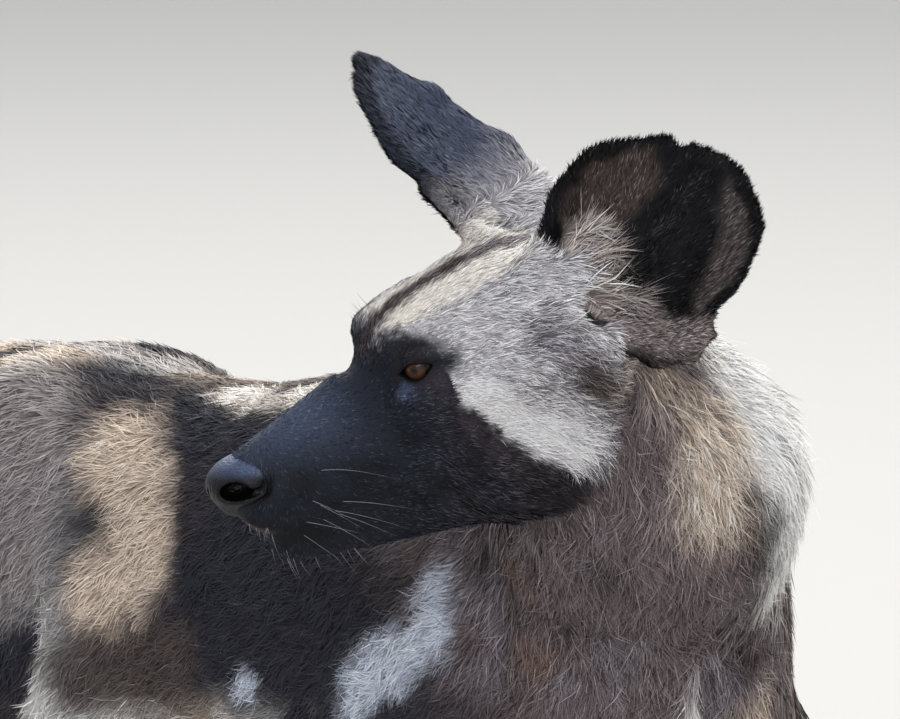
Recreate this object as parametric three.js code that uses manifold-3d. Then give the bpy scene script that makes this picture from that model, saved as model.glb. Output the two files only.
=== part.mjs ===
// An african wild dog at life size, standing with its head turned back over its right shoulder.
// Millimetres. +Z is up, the animal faces -Y and its left side is +X. The origin lies on the
// floor, under the middle of the animal's bounding box. The shape goes out to the coat's tips.
//
// The animal is modelled whole, as distance fields blended into one another, and is then
// parted by thin flat cuts into head, neck, trunk, tail and legs.

import * as THREE from 'three';
import { mergeVertices } from 'three/addons/utils/BufferGeometryUtils.js';
import Module from 'manifold-3d';

// Driving dimensions
const LOIN_HEIGHT = 582;
const CHEST_HEIGHT = 528;
const CHEST_HALF_WIDTH = 88;
const LOIN_RADIUS = 74;
const FOOT_SPREAD = 62;
const FORE_FOOT_Y = -186;
const HIND_FOOT_Y = 268;
const FORE_PAW_HALF_WIDTH = 27;
const HIND_PAW_HALF_WIDTH = 26;
const ELBOW = [66, -118, 395];
const WRIST = [62, -146, 182];
const STIFLE = [60, 172, 412];
const HOCK = [62, 312, 212];
const HEAD_TURN = 156;
const HEAD_NOD = 15.2;
const HEAD_TILT = -9;
const HEAD_PLACE = [-169, -201, 709];
const EYE_RADIUS = 11;
const EYE_PLACE = [-6, 29, 2];
const EYE_LOOK = [0.66, 0.74, 0.08];
const CLAW_LENGTH = 17;
const CLAW_RADIUS = 3.4;
const GAP = 0.3;
const BLOCK = 3000;

// Mesh size of each region
const HEAD_CELL = 13.2;
const NOSE_CELL = 8;
const NECK_CELL = 27;
const TRUNK_CELL = 36;
const TAIL_CELL = 25;
const EAR_FOOT_CELL = 18;
const LEG_CELL = 27;
const PAW_CELL = 16;

const wasm = await Module();
wasm.setup();

// Vectors are plain triples
const add = (a, b) => a.map((v, i) => v + b[i]);
const sub = (a, b) => a.map((v, i) => v - b[i]);
const scale = (a, s) => a.map((v) => v * s);
const dot = (a, b) => a[0] * b[0] + a[1] * b[1] + a[2] * b[2];
const cross = (a, b) => [
  a[1] * b[2] - a[2] * b[1],
  a[2] * b[0] - a[0] * b[2],
  a[0] * b[1] - a[1] * b[0],
];
const unit = (a) => scale(a, 1 / Math.hypot(...a));
const clamp = (v, low, high) => Math.min(Math.max(v, low), high);
const mirror = (a) => [-a[0], a[1], a[2]];
const ACROSS = [1, 0, 0];

// A round cone from a to b. It is made narrower or wider along the side direction by squeeze.
function rod(a, b, radiusA, radiusB, side = ACROSS, squeeze = 1) {
  const axis = sub(b, a);
  const lengthSquared = dot(axis, axis);
  return (p) => {
    const fromA = sub(p, a);
    const t = clamp(dot(fromA, axis) / lengthSquared, 0, 1);
    const off = sub(fromA, scale(axis, t));
    const wide = add(off, scale(side, (squeeze - 1) * dot(off, side)));
    return Math.hypot(...wide) - (radiusA + (radiusB - radiusA) * t);
  };
}

// An ellipsoid from its centre and three half axes
function egg(centre, radii) {
  return (p) => {
    const q = sub(p, centre).map((v, i) => v / radii[i]);
    const size = Math.hypot(...q);
    const slope = Math.hypot(...q.map((v, i) => v / radii[i]));
    return size * (size - 1) / Math.max(slope, 1e-6);
  };
}

function smoothMin(a, b, reach) {
  const h = Math.max(reach - Math.abs(a - b), 0) / reach;
  return Math.min(a, b) - h * h * reach / 4;
}

// Blends fields one after another: [first, [reach, next], [reach, next], ...]
function grown(first, ...rest) {
  return (p) => rest.reduce((d, [reach, field]) => smoothMin(d, field(p), reach), first(p));
}

// Both sides of the animal from the field of its left side
const paired = (field) => (p) => field([Math.abs(p[0]), p[1], p[2]]);

// A chain of round cones along a list of [place, radius]
function chain(links, reach) {
  const rods = links.slice(1).map(([b, rb], i) => rod(links[i][0], b, links[i][1], rb));
  return grown(rods[0], ...rods.slice(1).map((field) => [reach, field]));
}

// The head's own frame: x towards the nose, y to the animal's left, z up, zero between the eyes
const headMatrix = new THREE.Matrix4()
  .makeRotationZ(THREE.MathUtils.degToRad(HEAD_TURN))
  .multiply(new THREE.Matrix4().makeRotationY(THREE.MathUtils.degToRad(HEAD_NOD)))
  .multiply(new THREE.Matrix4().makeRotationX(THREE.MathUtils.degToRad(HEAD_TILT)));
const headAxes = [0, 1, 2].map((i) => headMatrix.elements.slice(4 * i, 4 * i + 3));
const turnFromHead = (v) => [0, 1, 2].map((k) => headAxes.reduce((s, axis, i) => s + axis[k] * v[i], 0));
const fromHead = (q) => add(HEAD_PLACE, turnFromHead(q));
const toHead = (p) => headAxes.map((axis) => dot(sub(p, HEAD_PLACE), axis));
const inHead = (field) => (p) => field(toHead(p));
const bothSides = (field) => (q) => field([q[0], Math.abs(q[1]), q[2]]);

// Head, without the ears: skull, muzzle, lips, jaw, cheeks and brows
const ACROSS_HEAD = [0, 1, 0];
const skull = grown(
  egg([-56, 0, -6], [60, 54, 46]),
  [12, egg([-16, 0, -8], [36, 37, 37])],
  [20, egg([-96, 0, -22], [32, 46, 46])],
);
const muzzle = grown(
  rod([14, 0, -38], [77, 0, -43], 35, 19, ACROSS_HEAD, 0.82),
  [8, bothSides(rod([24, 12, -46], [78, 9, -50], 24, 14.5))],
  [8, rod([30, 0, -14], [86, 0, -33], 13, 9, ACROSS_HEAD, 0.8)],
);
const lowerJaw = rod([-30, 0, -66], [68, 0, -72], 29, 13, ACROSS_HEAD, 0.75);
const cheekMuscle = bothSides(egg([-44, 40, -38], [44, 25, 46]));
const cheekArch = bothSides(rod([0, 36, -16], [-54, 54, -6], 12, 14));
const brow = bothSides(rod([4, 19, 11], [-20, 32, 13], 8, 9));
const eyelids = bothSides(egg(EYE_PLACE, [13, 13, 12]));
const headShape = inHead(grown(
  skull, [12, muzzle], [12, lowerJaw], [18, cheekMuscle], [16, cheekArch], [14, brow], [5, eyelids],
));
const NOSE_PLACE = [90, 0, -34];
const nosePad = inHead(grown(
  egg(NOSE_PLACE, [12, 17.5, 12.5]),
  [6, rod([82, 0, -29], [90, 0, -32], 9, 9, ACROSS_HEAD, 0.8)],
  [5, egg([91, 0, -44], [8, 8, 8])],
));

// Neck, from between the shoulders up and round to the back of the skull
const NECK_ROOT = [0, -120, 545];
const NECK_TURN = [-39, -238, 640];
const SKULL_BASE = fromHead([-86, 0, -26]);
const neckShape = chain([
  [NECK_ROOT, 84],
  [[-12, -190, 582], 76],
  [NECK_TURN, 76],
  [SKULL_BASE, 56],
], 12);

// Trunk
const trunkShape = grown(
  egg([0, -60, CHEST_HEIGHT], [CHEST_HALF_WIDTH, 190, 146]),
  [50, rod([0, -60, LOIN_HEIGHT], [0, 285, LOIN_HEIGHT], LOIN_RADIUS + 2, LOIN_RADIUS - 2)],
  [40, egg([0, 110, 522], [76, 150, 84])],
  [40, egg([0, 250, 560], [78, 95, 80])],
  [30, egg([0, -100, 636], [36, 85, 38])],
  [40, egg([0, -190, 490], [60, 62, 84])],
  [40, rod([0, -70, 636], [-26, -212, 646], 34, 46)],
  [40, paired(rod([52, -95, 610], [58, -192, 482], 34, 35, [1, 0, 0], 1.2))],
  [36, paired(rod([60, -196, 482], ELBOW, 35, 32))],
);

// A paw: the pad and four toes, each toe a rod that reaches forward and spreads
const TOES = [
  { across: -0.62, ahead: 24 },
  { across: -0.22, ahead: 36 },
  { across: 0.22, ahead: 36 },
  { across: 0.62, ahead: 24 },
];
const TOE_RADIUS = 11;
function toeTip(y, halfWidth, toe) {
  return [FOOT_SPREAD + toe.across * halfWidth * 1.3, y - toe.ahead, TOE_RADIUS - 1];
}
function pawShape(y, halfWidth) {
  const toes = TOES.map((toe) => {
    const knuckle = [FOOT_SPREAD + toe.across * halfWidth * 1.05, y - toe.ahead * 0.35, 23];
    return [5, rod(knuckle, toeTip(y, halfWidth, toe), TOE_RADIUS + 1, TOE_RADIUS)];
  });
  return grown(egg([FOOT_SPREAD, y, 17], [halfWidth, 32, 20]), ...toes);
}

const foreleg = grown(
  rod(ELBOW, WRIST, 33, 19),
  [12, egg([63, -148, 172], [19, 20, 28])],
  [14, rod(WRIST, [62, -160, 50], 18, 19)],
  [14, rod([62, -158, 50], [62, -176, 26], 19, 20, ACROSS, 0.85)],
  [12, pawShape(FORE_FOOT_Y, FORE_PAW_HALF_WIDTH)],
);
const hindleg = grown(
  rod([42, 240, 570], STIFLE, 76, 42, ACROSS, 1.3),
  [40, rod([38, 296, 560], [58, 262, 420], 44, 30)],
  [40, rod(STIFLE, [62, 296, 222], 37, 18)],
  [40, rod([58, 262, 410], [62, 322, 225], 25, 11)],
  [30, rod([59, 226, 405], [62, 298, 255], 33, 15)],
  [12, rod([62, 318, 218], HOCK, 16, 17)],
  [14, rod(HOCK, [62, 294, 56], 18, 17)],
  [14, rod([62, 292, 52], [62, 278, 26], 18, 20, ACROSS, 0.85)],
  [12, pawShape(HIND_FOOT_Y, HIND_PAW_HALF_WIDTH)],
);

const tailShape = chain([
  [[0, 300, 622], 30],
  [[0, 345, 600], 25],
  [[0, 378, 552], 25],
  [[0, 396, 490], 28],
  [[0, 402, 420], 31],
  [[0, 398, 355], 29],
  [[0, 390, 310], 20],
  [[0, 384, 278], 7],
], 4);

const bodyShape = grown(
  trunkShape,
  [26, paired(foreleg)],
  [50, paired(hindleg)],
  [50, neckShape],
  [26, tailShape],
);
const headAndNeck = grown(neckShape, [26, headShape]);
const bodyAndHead = grown(bodyShape, [26, headShape]);

// The closed surface of a field where it equals level, inside the box from low to high,
// as a net of quads with one corner in each cell that the surface crosses
function skinOf(field, low, high, cell, level = 0) {
  const count = low.map((v, i) => Math.ceil((high[i] - v) / cell) + 1);
  const at = (i, j, k) => (i * count[1] + j) * count[2] + k;
  const corner = (i, j, k) => [low[0] + i * cell, low[1] + j * cell, low[2] + k * cell];
  const values = new Float64Array(count[0] * count[1] * count[2]);
  for (let i = 0; i < count[0]; i++) {
    for (let j = 0; j < count[1]; j++) {
      for (let k = 0; k < count[2]; k++) {
        const onRim = [i, j, k].some((n, a) => n === 0 || n === count[a] - 1);
        const depth = field(corner(i, j, k)) - level;
        values[at(i, j, k)] = onRim ? Math.max(depth, 0.5 * cell) : depth;
      }
    }
  }
  const points = [];
  const triangles = [];
  const pointOf = new Map();
  const stepOf = [at(1, 0, 0), at(0, 1, 0), at(0, 0, 1)];

  // The mean of the places where the surface crosses the cell's twelve edges
  function cellPoint(i, j, k) {
    const key = at(i, j, k);
    if (pointOf.has(key)) return pointOf.get(key);
    const sum = [0, 0, 0];
    let crossings = 0;
    for (let axis = 0; axis < 3; axis++) {
      const [b, c] = [(axis + 1) % 3, (axis + 2) % 3];
      for (const [ob, oc] of [[0, 0], [1, 0], [0, 1], [1, 1]]) {
        const start = [i, j, k];
        start[b] += ob;
        start[c] += oc;
        const v0 = values[at(...start)];
        const v1 = values[at(...start) + stepOf[axis]];
        if ((v0 < 0) === (v1 < 0)) continue;
        const place = corner(...start);
        place[axis] += cell * v0 / (v0 - v1);
        place.forEach((v, n) => { sum[n] += v; });
        crossings += 1;
      }
    }
    points.push(settle(scale(sum, 1 / crossings), corner(i, j, k)));
    pointOf.set(key, points.length - 1);
    return points.length - 1;
  }

  // Moves a point onto the surface along the field's slope, but not out of its own cell
  function settle(place, cellLow) {
    const h = 0.5;
    const rim = 0.06 * cell;
    let p = place;
    for (let pass = 0; pass < 2; pass++) {
      const d = field(p) - level;
      const slope = [0, 1, 2].map((n) => {
        const step = [0, 0, 0];
        step[n] = h;
        return (field(add(p, step)) - field(sub(p, step))) / (2 * h);
      });
      const steep = Math.max(dot(slope, slope), 0.3);
      p = add(p, scale(slope, -d / steep));
      p = p.map((v, n) => clamp(v, cellLow[n] + rim, cellLow[n] + cell - rim));
    }
    return p;
  }

  for (let axis = 0; axis < 3; axis++) {
    const [b, c] = [(axis + 1) % 3, (axis + 2) % 3];
    for (let i = 0; i < count[0]; i++) {
      for (let j = 0; j < count[1]; j++) {
        for (let k = 0; k < count[2]; k++) {
          const start = [i, j, k];
          if (start[axis] === count[axis] - 1 || start[b] === 0 || start[c] === 0) continue;
          if (start[b] === count[b] - 1 || start[c] === count[c] - 1) continue;
          const inside = values[at(i, j, k)] < 0;
          if (inside === (values[at(i, j, k) + stepOf[axis]] < 0)) continue;
          const ring = [[0, 0], [-1, 0], [-1, -1], [0, -1]].map(([ob, oc]) => {
            const q = [...start];
            q[b] += ob;
            q[c] += oc;
            return cellPoint(...q);
          });
          const [p0, p1, p2, p3] = inside ? ring : ring.reverse();
          triangles.push(p0, p1, p2, p0, p2, p3);
        }
      }
    }
  }
  const geometry = new THREE.BufferGeometry();
  geometry.setAttribute('position', new THREE.Float32BufferAttribute(points.flat(), 3));
  geometry.setIndex(triangles);
  return geometry;
}

// Solids
function solidOf(geometry) {
  const bare = geometry.clone();
  bare.deleteAttribute('normal');
  bare.deleteAttribute('uv');
  const merged = mergeVertices(bare);
  return new wasm.Manifold(new wasm.Mesh({
    numProp: 3,
    vertProperties: new Float32Array(merged.attributes.position.array),
    triVerts: new Uint32Array(merged.index.array),
  }));
}

function geometryOf(solid) {
  const mesh = solid.getMesh();
  const geometry = new THREE.BufferGeometry();
  geometry.setAttribute('position', new THREE.BufferAttribute(new Float32Array(mesh.vertProperties), 3));
  geometry.setIndex(new THREE.BufferAttribute(new Uint32Array(mesh.triVerts), 1));
  geometry.computeVertexNormals();
  return geometry;
}

const vector = (a) => new THREE.Vector3(...a);

// What lies on the side of a plane that its normal points to, less half the gap
function keepBeyond(solid, point, normal, clearance = GAP / 2) {
  const out = unit(normal);
  const block = new THREE.BoxGeometry(BLOCK, BLOCK, BLOCK);
  block.applyQuaternion(new THREE.Quaternion().setFromUnitVectors(vector([0, 0, 1]), vector(out)));
  const middle = add(point, scale(out, BLOCK / 2 + clearance));
  block.translate(...middle);
  return solid.intersect(solidOf(block));
}

const keepWithin = (solid, ...cuts) => (
  cuts.reduce((kept, [point, normal]) => keepBeyond(kept, point, normal), solid)
);
const other = ([point, normal]) => [point, scale(normal, -1)];
const onRight = ([point, normal]) => [mirror(point), mirror(normal)];

// Where the body is parted: each cut is a point and the normal of its plane
const NECK_CUT = [[0, -180, 605], [0, -0.65, 0.76]];
const HEAD_CUT = [fromHead([-84, 0, -44]), turnFromHead([0.62, 0, 0.78])];
const CHEST_CUT = [[0, -10, 0], [0, 1, 0]];
const RUMP_CUT = [[0, 115, 0], [0, 1, 0]];
const TAIL_CUT = [[0, 350, 0], [0, 1, 0]];
const TAIL_TIP_CUT = [[0, 0, 440], [0, 0, -1]];
const FORELEG_CUT = [[30, 0, 358], [0.7, 0, -0.71]];
const THIGH_CUT = [[30, 0, 470], [0.75, 0, -0.66]];
const LEFT_SIDE = [[0, 0, 0], [1, 0, 0]];
const FOREARM_END = [[0, 0, 200], [0, 0, -1]];
const FORE_PAW_CUT = [[0, 0, 60], [0, 0, -1]];
const KNEE_CUT = [[0, 0, 385], [0, 0, -1]];
const HOCK_CUT = [[0, 0, 235], [0, 0, -1]];
const HIND_PAW_CUT = [[0, 0, 58], [0, 0, -1]];

const meshes = [];
function piece(name, solid, material) {
  const mesh = new THREE.Mesh(geometryOf(solid), material());
  mesh.name = name;
  meshes.push(mesh);
}

const surface = (color, roughness) => () => (
  new THREE.MeshStandardMaterial({ color, roughness, metalness: 0 })
);
const DARK_COAT = surface('#3c3a42', 0.9);
const FACE_COAT = surface('#3a3f50', 0.9);
const TAN_COAT = surface('#8d7c72', 0.9);
const PALE_COAT = surface('#e2ddd4', 0.9);
const NOSE_LEATHER = surface('#2c323d', 0.4);
const EYE = surface('#5a3520', 0.1);
const CLAW_HORN = surface('#2a2624', 0.5);

// Head: the eyeballs, nose pad and mouth line are cut into it
function eyeball(side, radius) {
  const ball = new THREE.SphereGeometry(radius, 12, 8);
  ball.translate(...fromHead([EYE_PLACE[0], side * EYE_PLACE[1], EYE_PLACE[2]]));
  return solidOf(ball);
}

// The almond opening between the lids, long from the inner corner back to the outer one
const OPENING = { half: 9, tall: 5.6, deep: 9 };
function lidOpening(side) {
  const look = unit([EYE_LOOK[0], side * EYE_LOOK[1], EYE_LOOK[2]]);
  const along = unit(scale(cross([0, 0, 1], look), side));
  const upward = cross(look, along);
  const almond = new THREE.SphereGeometry(1, 12, 8);
  const basis = new THREE.Matrix4().makeBasis(
    vector(scale(along, OPENING.half)),
    vector(scale(upward, OPENING.tall)),
    vector(scale(look, OPENING.deep)),
  );
  almond.applyMatrix4(basis);
  if (basis.determinant() < 0) almond.index.array.reverse();
  almond.applyMatrix4(headMatrix);
  const centre = add([EYE_PLACE[0], side * EYE_PLACE[1], EYE_PLACE[2]], scale(look, EYE_RADIUS));
  almond.translate(...fromHead(centre));
  return solidOf(almond);
}

// The mouth's closed line, a shallow groove from one corner round the front to the other
const MOUTH_LINE = [[7, 41, -65], [26, 38, -71], [50, 30, -75], [76, 23, -69], [90, 15, -61], [94, 6, -56]];
const MOUTH_WIDE = 1.6;
const MOUTH_DEEP = 2.6;
function mouthGroove() {
  const left = MOUTH_LINE;
  const right = left.map(([x, y, z]) => [x, -y, z]).reverse();
  const route = new THREE.CatmullRomCurve3([...left, ...right].map((q) => vector(fromHead(q))));
  const section = new THREE.Shape();
  section.absellipse(0, 0, MOUTH_WIDE, MOUTH_DEEP, 0, 2 * Math.PI);
  const steps = { steps: 30, extrudePath: route, bevelEnabled: false, curveSegments: 2 };
  return solidOf(new THREE.ExtrudeGeometry(section, steps));
}

// A nostril: an oval opening that runs back and outwards into the nose pad
const NOSTRIL = { place: [99, 10, -34], deep: 8, wide: 3.4, tall: 3.8, turn: 0.9 };
function nostril(side) {
  const hole = new THREE.SphereGeometry(1, 10, 7);
  hole.scale(NOSTRIL.deep, NOSTRIL.wide, NOSTRIL.tall);
  hole.rotateZ(side * NOSTRIL.turn);
  hole.applyMatrix4(headMatrix);
  hole.translate(...fromHead([NOSTRIL.place[0], side * NOSTRIL.place[1], NOSTRIL.place[2]]));
  return solidOf(hole);
}

const HEAD_BOX = [[-290, -345, 560], [0, -100, 800]];
const NECK_BOX = [[-160, -345, 440], [130, -60, 800]];
const NOSE_REACH = [32, 32, 32];
const NOSE_BOX = [sub(fromHead(NOSE_PLACE), NOSE_REACH), add(fromHead(NOSE_PLACE), NOSE_REACH)];
const neckGrown = solidOf(skinOf(bodyAndHead, ...NECK_BOX, NECK_CELL, GAP));
const headGrown = solidOf(skinOf(headAndNeck, ...HEAD_BOX, HEAD_CELL, GAP));
let head = keepWithin(solidOf(skinOf(headAndNeck, ...HEAD_BOX, HEAD_CELL)), HEAD_CUT);
head = head.subtract(solidOf(skinOf(nosePad, ...NOSE_BOX, NOSE_CELL, GAP)));
head = head.subtract(mouthGroove());
for (const side of [1, -1]) {
  head = head.subtract(eyeball(side, EYE_RADIUS + GAP)).subtract(lidOpening(side));
}
piece('head', head, FACE_COAT);
let nose = solidOf(skinOf(nosePad, ...NOSE_BOX, NOSE_CELL));
for (const side of [1, -1]) nose = nose.subtract(nostril(side));
piece('nose', nose, NOSE_LEATHER);
piece('eye_left', eyeball(1, EYE_RADIUS), EYE);
piece('eye_right', eyeball(-1, EYE_RADIUS), EYE);

// Ears: a round cupped plate on a rounded foot. Each ear is turned by its own muscles, the
// left one sideways and the right one forwards. The axes and places are in the head's frame.
const EARS = {
  left: { root: [-88, 51, 9], middle: [-126, 43, 32], face: [0.47, 0.75, 0.47], radius: 52 },
  right: { root: [-76, -52, 26], middle: [-57, -79, 71], face: [0.9, -0.27, -0.29], radius: 50 },
};
const EAR_CUP = { deepLow: 26, deepHigh: 14, curl: 8, back: 10, height: 96, halfWidth: 50 };
const EAR_THICK = { low: 8, high: 5, thinAt: 60 };
const EAR_RINGS = 4;
const EAR_SECTORS = 18;

// The height of the cupped plate's middle surface over the ear's plane
function earCup(u, v) {
  const t = clamp(v / EAR_CUP.height, 0, 1);
  const depth = EAR_CUP.deepLow + (EAR_CUP.deepHigh - EAR_CUP.deepLow) * t;
  return depth * (u / EAR_CUP.halfWidth) ** 2 + EAR_CUP.curl * t * t - EAR_CUP.back;
}

function earPlate(radius, reach) {
  const points = [];
  const triangles = [];
  const ringStart = (face, ring) => face * (1 + (EAR_RINGS - 1) * EAR_SECTORS) + 1 + (ring - 1) * EAR_SECTORS;
  const rimStart = 2 * (1 + (EAR_RINGS - 1) * EAR_SECTORS);
  const place = (ring, sector, side) => {
    const angle = 2 * Math.PI * sector / EAR_SECTORS;
    const out = radius * Math.sin(0.5 * Math.PI * ring / EAR_RINGS);
    const [u, v] = [out * Math.sin(angle), reach + out * Math.cos(angle)];
    const thick = EAR_THICK.low + (EAR_THICK.high - EAR_THICK.low) * clamp(v / EAR_THICK.thinAt, 0, 1);
    return [u, v, earCup(u, v) + side * thick / 2];
  };
  for (const side of [1, -1]) {
    points.push(place(0, 0, side));
    for (let ring = 1; ring < EAR_RINGS; ring++) {
      for (let s = 0; s < EAR_SECTORS; s++) points.push(place(ring, s, side));
    }
  }
  for (let s = 0; s < EAR_SECTORS; s++) points.push(place(EAR_RINGS, s, 0));
  const startOf = (face, ring) => (ring === EAR_RINGS ? rimStart : ringStart(face, ring));
  for (const face of [0, 1]) {
    const tri = (a, b, c) => triangles.push(...(face === 0 ? [a, c, b] : [a, b, c]));
    const centre = face * (1 + (EAR_RINGS - 1) * EAR_SECTORS);
    for (let s = 0; s < EAR_SECTORS; s++) {
      const next = (s + 1) % EAR_SECTORS;
      tri(centre, ringStart(face, 1) + s, ringStart(face, 1) + next);
      for (let ring = 1; ring < EAR_RINGS; ring++) {
        const [inner, outer] = [startOf(face, ring), startOf(face, ring + 1)];
        tri(inner + s, outer + s, outer + next);
        tri(inner + s, outer + next, inner + next);
      }
    }
  }
  const geometry = new THREE.BufferGeometry();
  geometry.setAttribute('position', new THREE.Float32BufferAttribute(points.flat(), 3));
  geometry.setIndex(triangles);
  return geometry;
}

// The fleshy foot at the ear's back, which runs down into the head
function earFoot(reach) {
  const rootRadius = 27;
  const tipRadius = 10;
  const field = rod([0, -16, -12], [0, reach - 8, -20], rootRadius, tipRadius);
  return skinOf(field, [-34, -52, -46], [34, reach + 10, 22], EAR_FOOT_CELL);
}

// The hollow that leads down into the ear
const EAR_CANAL = { place: [0, 16, 8], radii: [14, 26, 15] };
function earCanal() {
  const canal = new THREE.SphereGeometry(1, 12, 8);
  canal.scale(...EAR_CANAL.radii);
  canal.translate(...EAR_CANAL.place);
  return solidOf(canal);
}

function earSolid({ root, middle, face, radius }) {
  const up = unit(sub(middle, root));
  const reach = Math.hypot(...sub(middle, root));
  const out = unit(sub(face, scale(up, dot(face, up))));
  const frame = new THREE.Matrix4().makeBasis(vector(cross(up, out)), vector(up), vector(out));
  const solid = solidOf(earPlate(radius, reach)).add(solidOf(earFoot(reach))).subtract(earCanal());
  const geometry = geometryOf(solid);
  geometry.applyMatrix4(frame);
  geometry.translate(...root);
  geometry.applyMatrix4(headMatrix);
  geometry.translate(...HEAD_PLACE);
  return solidOf(geometry).subtract(headGrown).subtract(neckGrown);
}
piece('ear_left', earSolid(EARS.left), DARK_COAT);
piece('ear_right', earSolid(EARS.right), FACE_COAT);

// Neck and trunk
const neck = solidOf(skinOf(bodyAndHead, ...NECK_BOX, NECK_CELL));
piece('neck', keepWithin(neck, NECK_CUT, other(HEAD_CUT)), TAN_COAT);

const TRUNK_BOX = [[-130, -290, 340], [130, 375, 720]];
const trunk = solidOf(skinOf(bodyShape, ...TRUNK_BOX, TRUNK_CELL));
const shoulderCuts = [other(FORELEG_CUT), other(onRight(FORELEG_CUT))];
piece('chest', keepWithin(trunk, other(NECK_CUT), other(CHEST_CUT), ...shoulderCuts), DARK_COAT);
piece('loin', keepWithin(trunk, CHEST_CUT, other(RUMP_CUT)), DARK_COAT);
const thighCuts = [other(THIGH_CUT), other(onRight(THIGH_CUT))];
piece('rump', keepWithin(trunk, RUMP_CUT, other(TAIL_CUT), ...thighCuts), DARK_COAT);

// Tail
const TAIL_BOX = [[-60, 320, 240], [60, 460, 660]];
const tail = solidOf(skinOf(bodyShape, ...TAIL_BOX, TAIL_CELL));
piece('tail_root', keepWithin(tail, TAIL_CUT, other(TAIL_TIP_CUT)), TAN_COAT);
piece('tail_tip', keepWithin(tail, TAIL_CUT, TAIL_TIP_CUT), PALE_COAT);

// Claws: short cones bent down, each set in the end of its toe
const CLAW_ROOT = 7;
const CLAW_RISE = 3;
const CLAW_SUNK = 7;
const CLAW_BEND = 0.025;
function claw(tip, radius) {
  const profile = [
    new THREE.Vector2(0, -CLAW_ROOT),
    new THREE.Vector2(radius, CLAW_LENGTH * 0.25),
    new THREE.Vector2(radius * 0.6, CLAW_LENGTH * 0.65),
    new THREE.Vector2(0, CLAW_LENGTH),
  ];
  const cone = new THREE.LatheGeometry(profile, 5);
  cone.rotateX(Math.PI);
  const place = cone.attributes.position;
  for (let i = 0; i < place.count; i++) {
    const ahead = -place.getY(i);
    place.setZ(i, place.getZ(i) - Math.max(ahead, 0) ** 2 * CLAW_BEND);
  }
  cone.translate(tip[0], tip[1] - CLAW_SUNK, tip[2] + CLAW_RISE);
  return solidOf(cone);
}

// The mirror image of a solid, on the animal's other side
function mirrored(solid) {
  const geometry = geometryOf(solid);
  geometry.scale(-1, 1, 1);
  geometry.index.array.reverse();
  return solidOf(geometry);
}

// Legs, from the trunk down. The left ones are modelled and the right ones are their mirror images.
function legPieces(name, box, y, halfWidth, parts) {
  for (const { part, cell, cuts } of parts) {
    let solid = keepWithin(solidOf(skinOf(bodyShape, ...box, cell)), LEFT_SIDE, ...cuts);
    if (part === 'paw') {
      solid = keepBeyond(solid, [0, 0, 0], [0, 0, 1], 0);
      TOES.forEach((toe) => {
        solid = solid.subtract(claw(toeTip(y, halfWidth, toe), CLAW_RADIUS + GAP));
      });
    }
    piece(`${name}_${part}_left`, solid, DARK_COAT);
    piece(`${name}_${part}_right`, mirrored(solid), DARK_COAT);
  }
  TOES.forEach((toe, i) => {
    const solid = claw(toeTip(y, halfWidth, toe), CLAW_RADIUS);
    piece(`${name}_claw_left_${i + 1}`, solid, CLAW_HORN);
    piece(`${name}_claw_right_${i + 1}`, mirrored(solid), CLAW_HORN);
  });
}

const FORELEG_BOX = [[-20, -260, -20], [130, -40, 480]];
const HINDLEG_BOX = [[-20, 95, -20], [130, 370, 580]];
legPieces('fore', FORELEG_BOX, FORE_FOOT_Y, FORE_PAW_HALF_WIDTH, [
  { part: 'leg', cell: LEG_CELL, cuts: [FORELEG_CUT, other(FOREARM_END)] },
  { part: 'pastern', cell: LEG_CELL, cuts: [FOREARM_END, other(FORE_PAW_CUT)] },
  { part: 'paw', cell: PAW_CELL, cuts: [FORE_PAW_CUT] },
]);
legPieces('hind', HINDLEG_BOX, HIND_FOOT_Y, HIND_PAW_HALF_WIDTH, [
  { part: 'thigh', cell: LEG_CELL, cuts: [THIGH_CUT, RUMP_CUT, other(TAIL_CUT), other(KNEE_CUT)] },
  { part: 'shank', cell: LEG_CELL, cuts: [KNEE_CUT, other(HOCK_CUT)] },
  { part: 'pastern', cell: LEG_CELL, cuts: [HOCK_CUT, other(HIND_PAW_CUT)] },
  { part: 'paw', cell: PAW_CELL, cuts: [HIND_PAW_CUT] },
]);

// The whole animal, moved so that the middle of its bounding box stands over the origin
const animal = new THREE.Group();
meshes.forEach((mesh) => animal.add(mesh));
const bounds = new THREE.Box3().setFromObject(animal);
const middle = bounds.getCenter(new THREE.Vector3());
animal.position.set(-middle.x, -middle.y, 0);
const africanWildDog = new THREE.Group();
africanWildDog.add(animal);
africanWildDog.updateMatrixWorld(true);

export default africanWildDog;
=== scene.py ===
import math
from itertools import product

import bpy
import numpy as np
from bpy.props import FloatProperty, FloatVectorProperty, PointerProperty
from mathutils import Matrix, Vector


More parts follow.
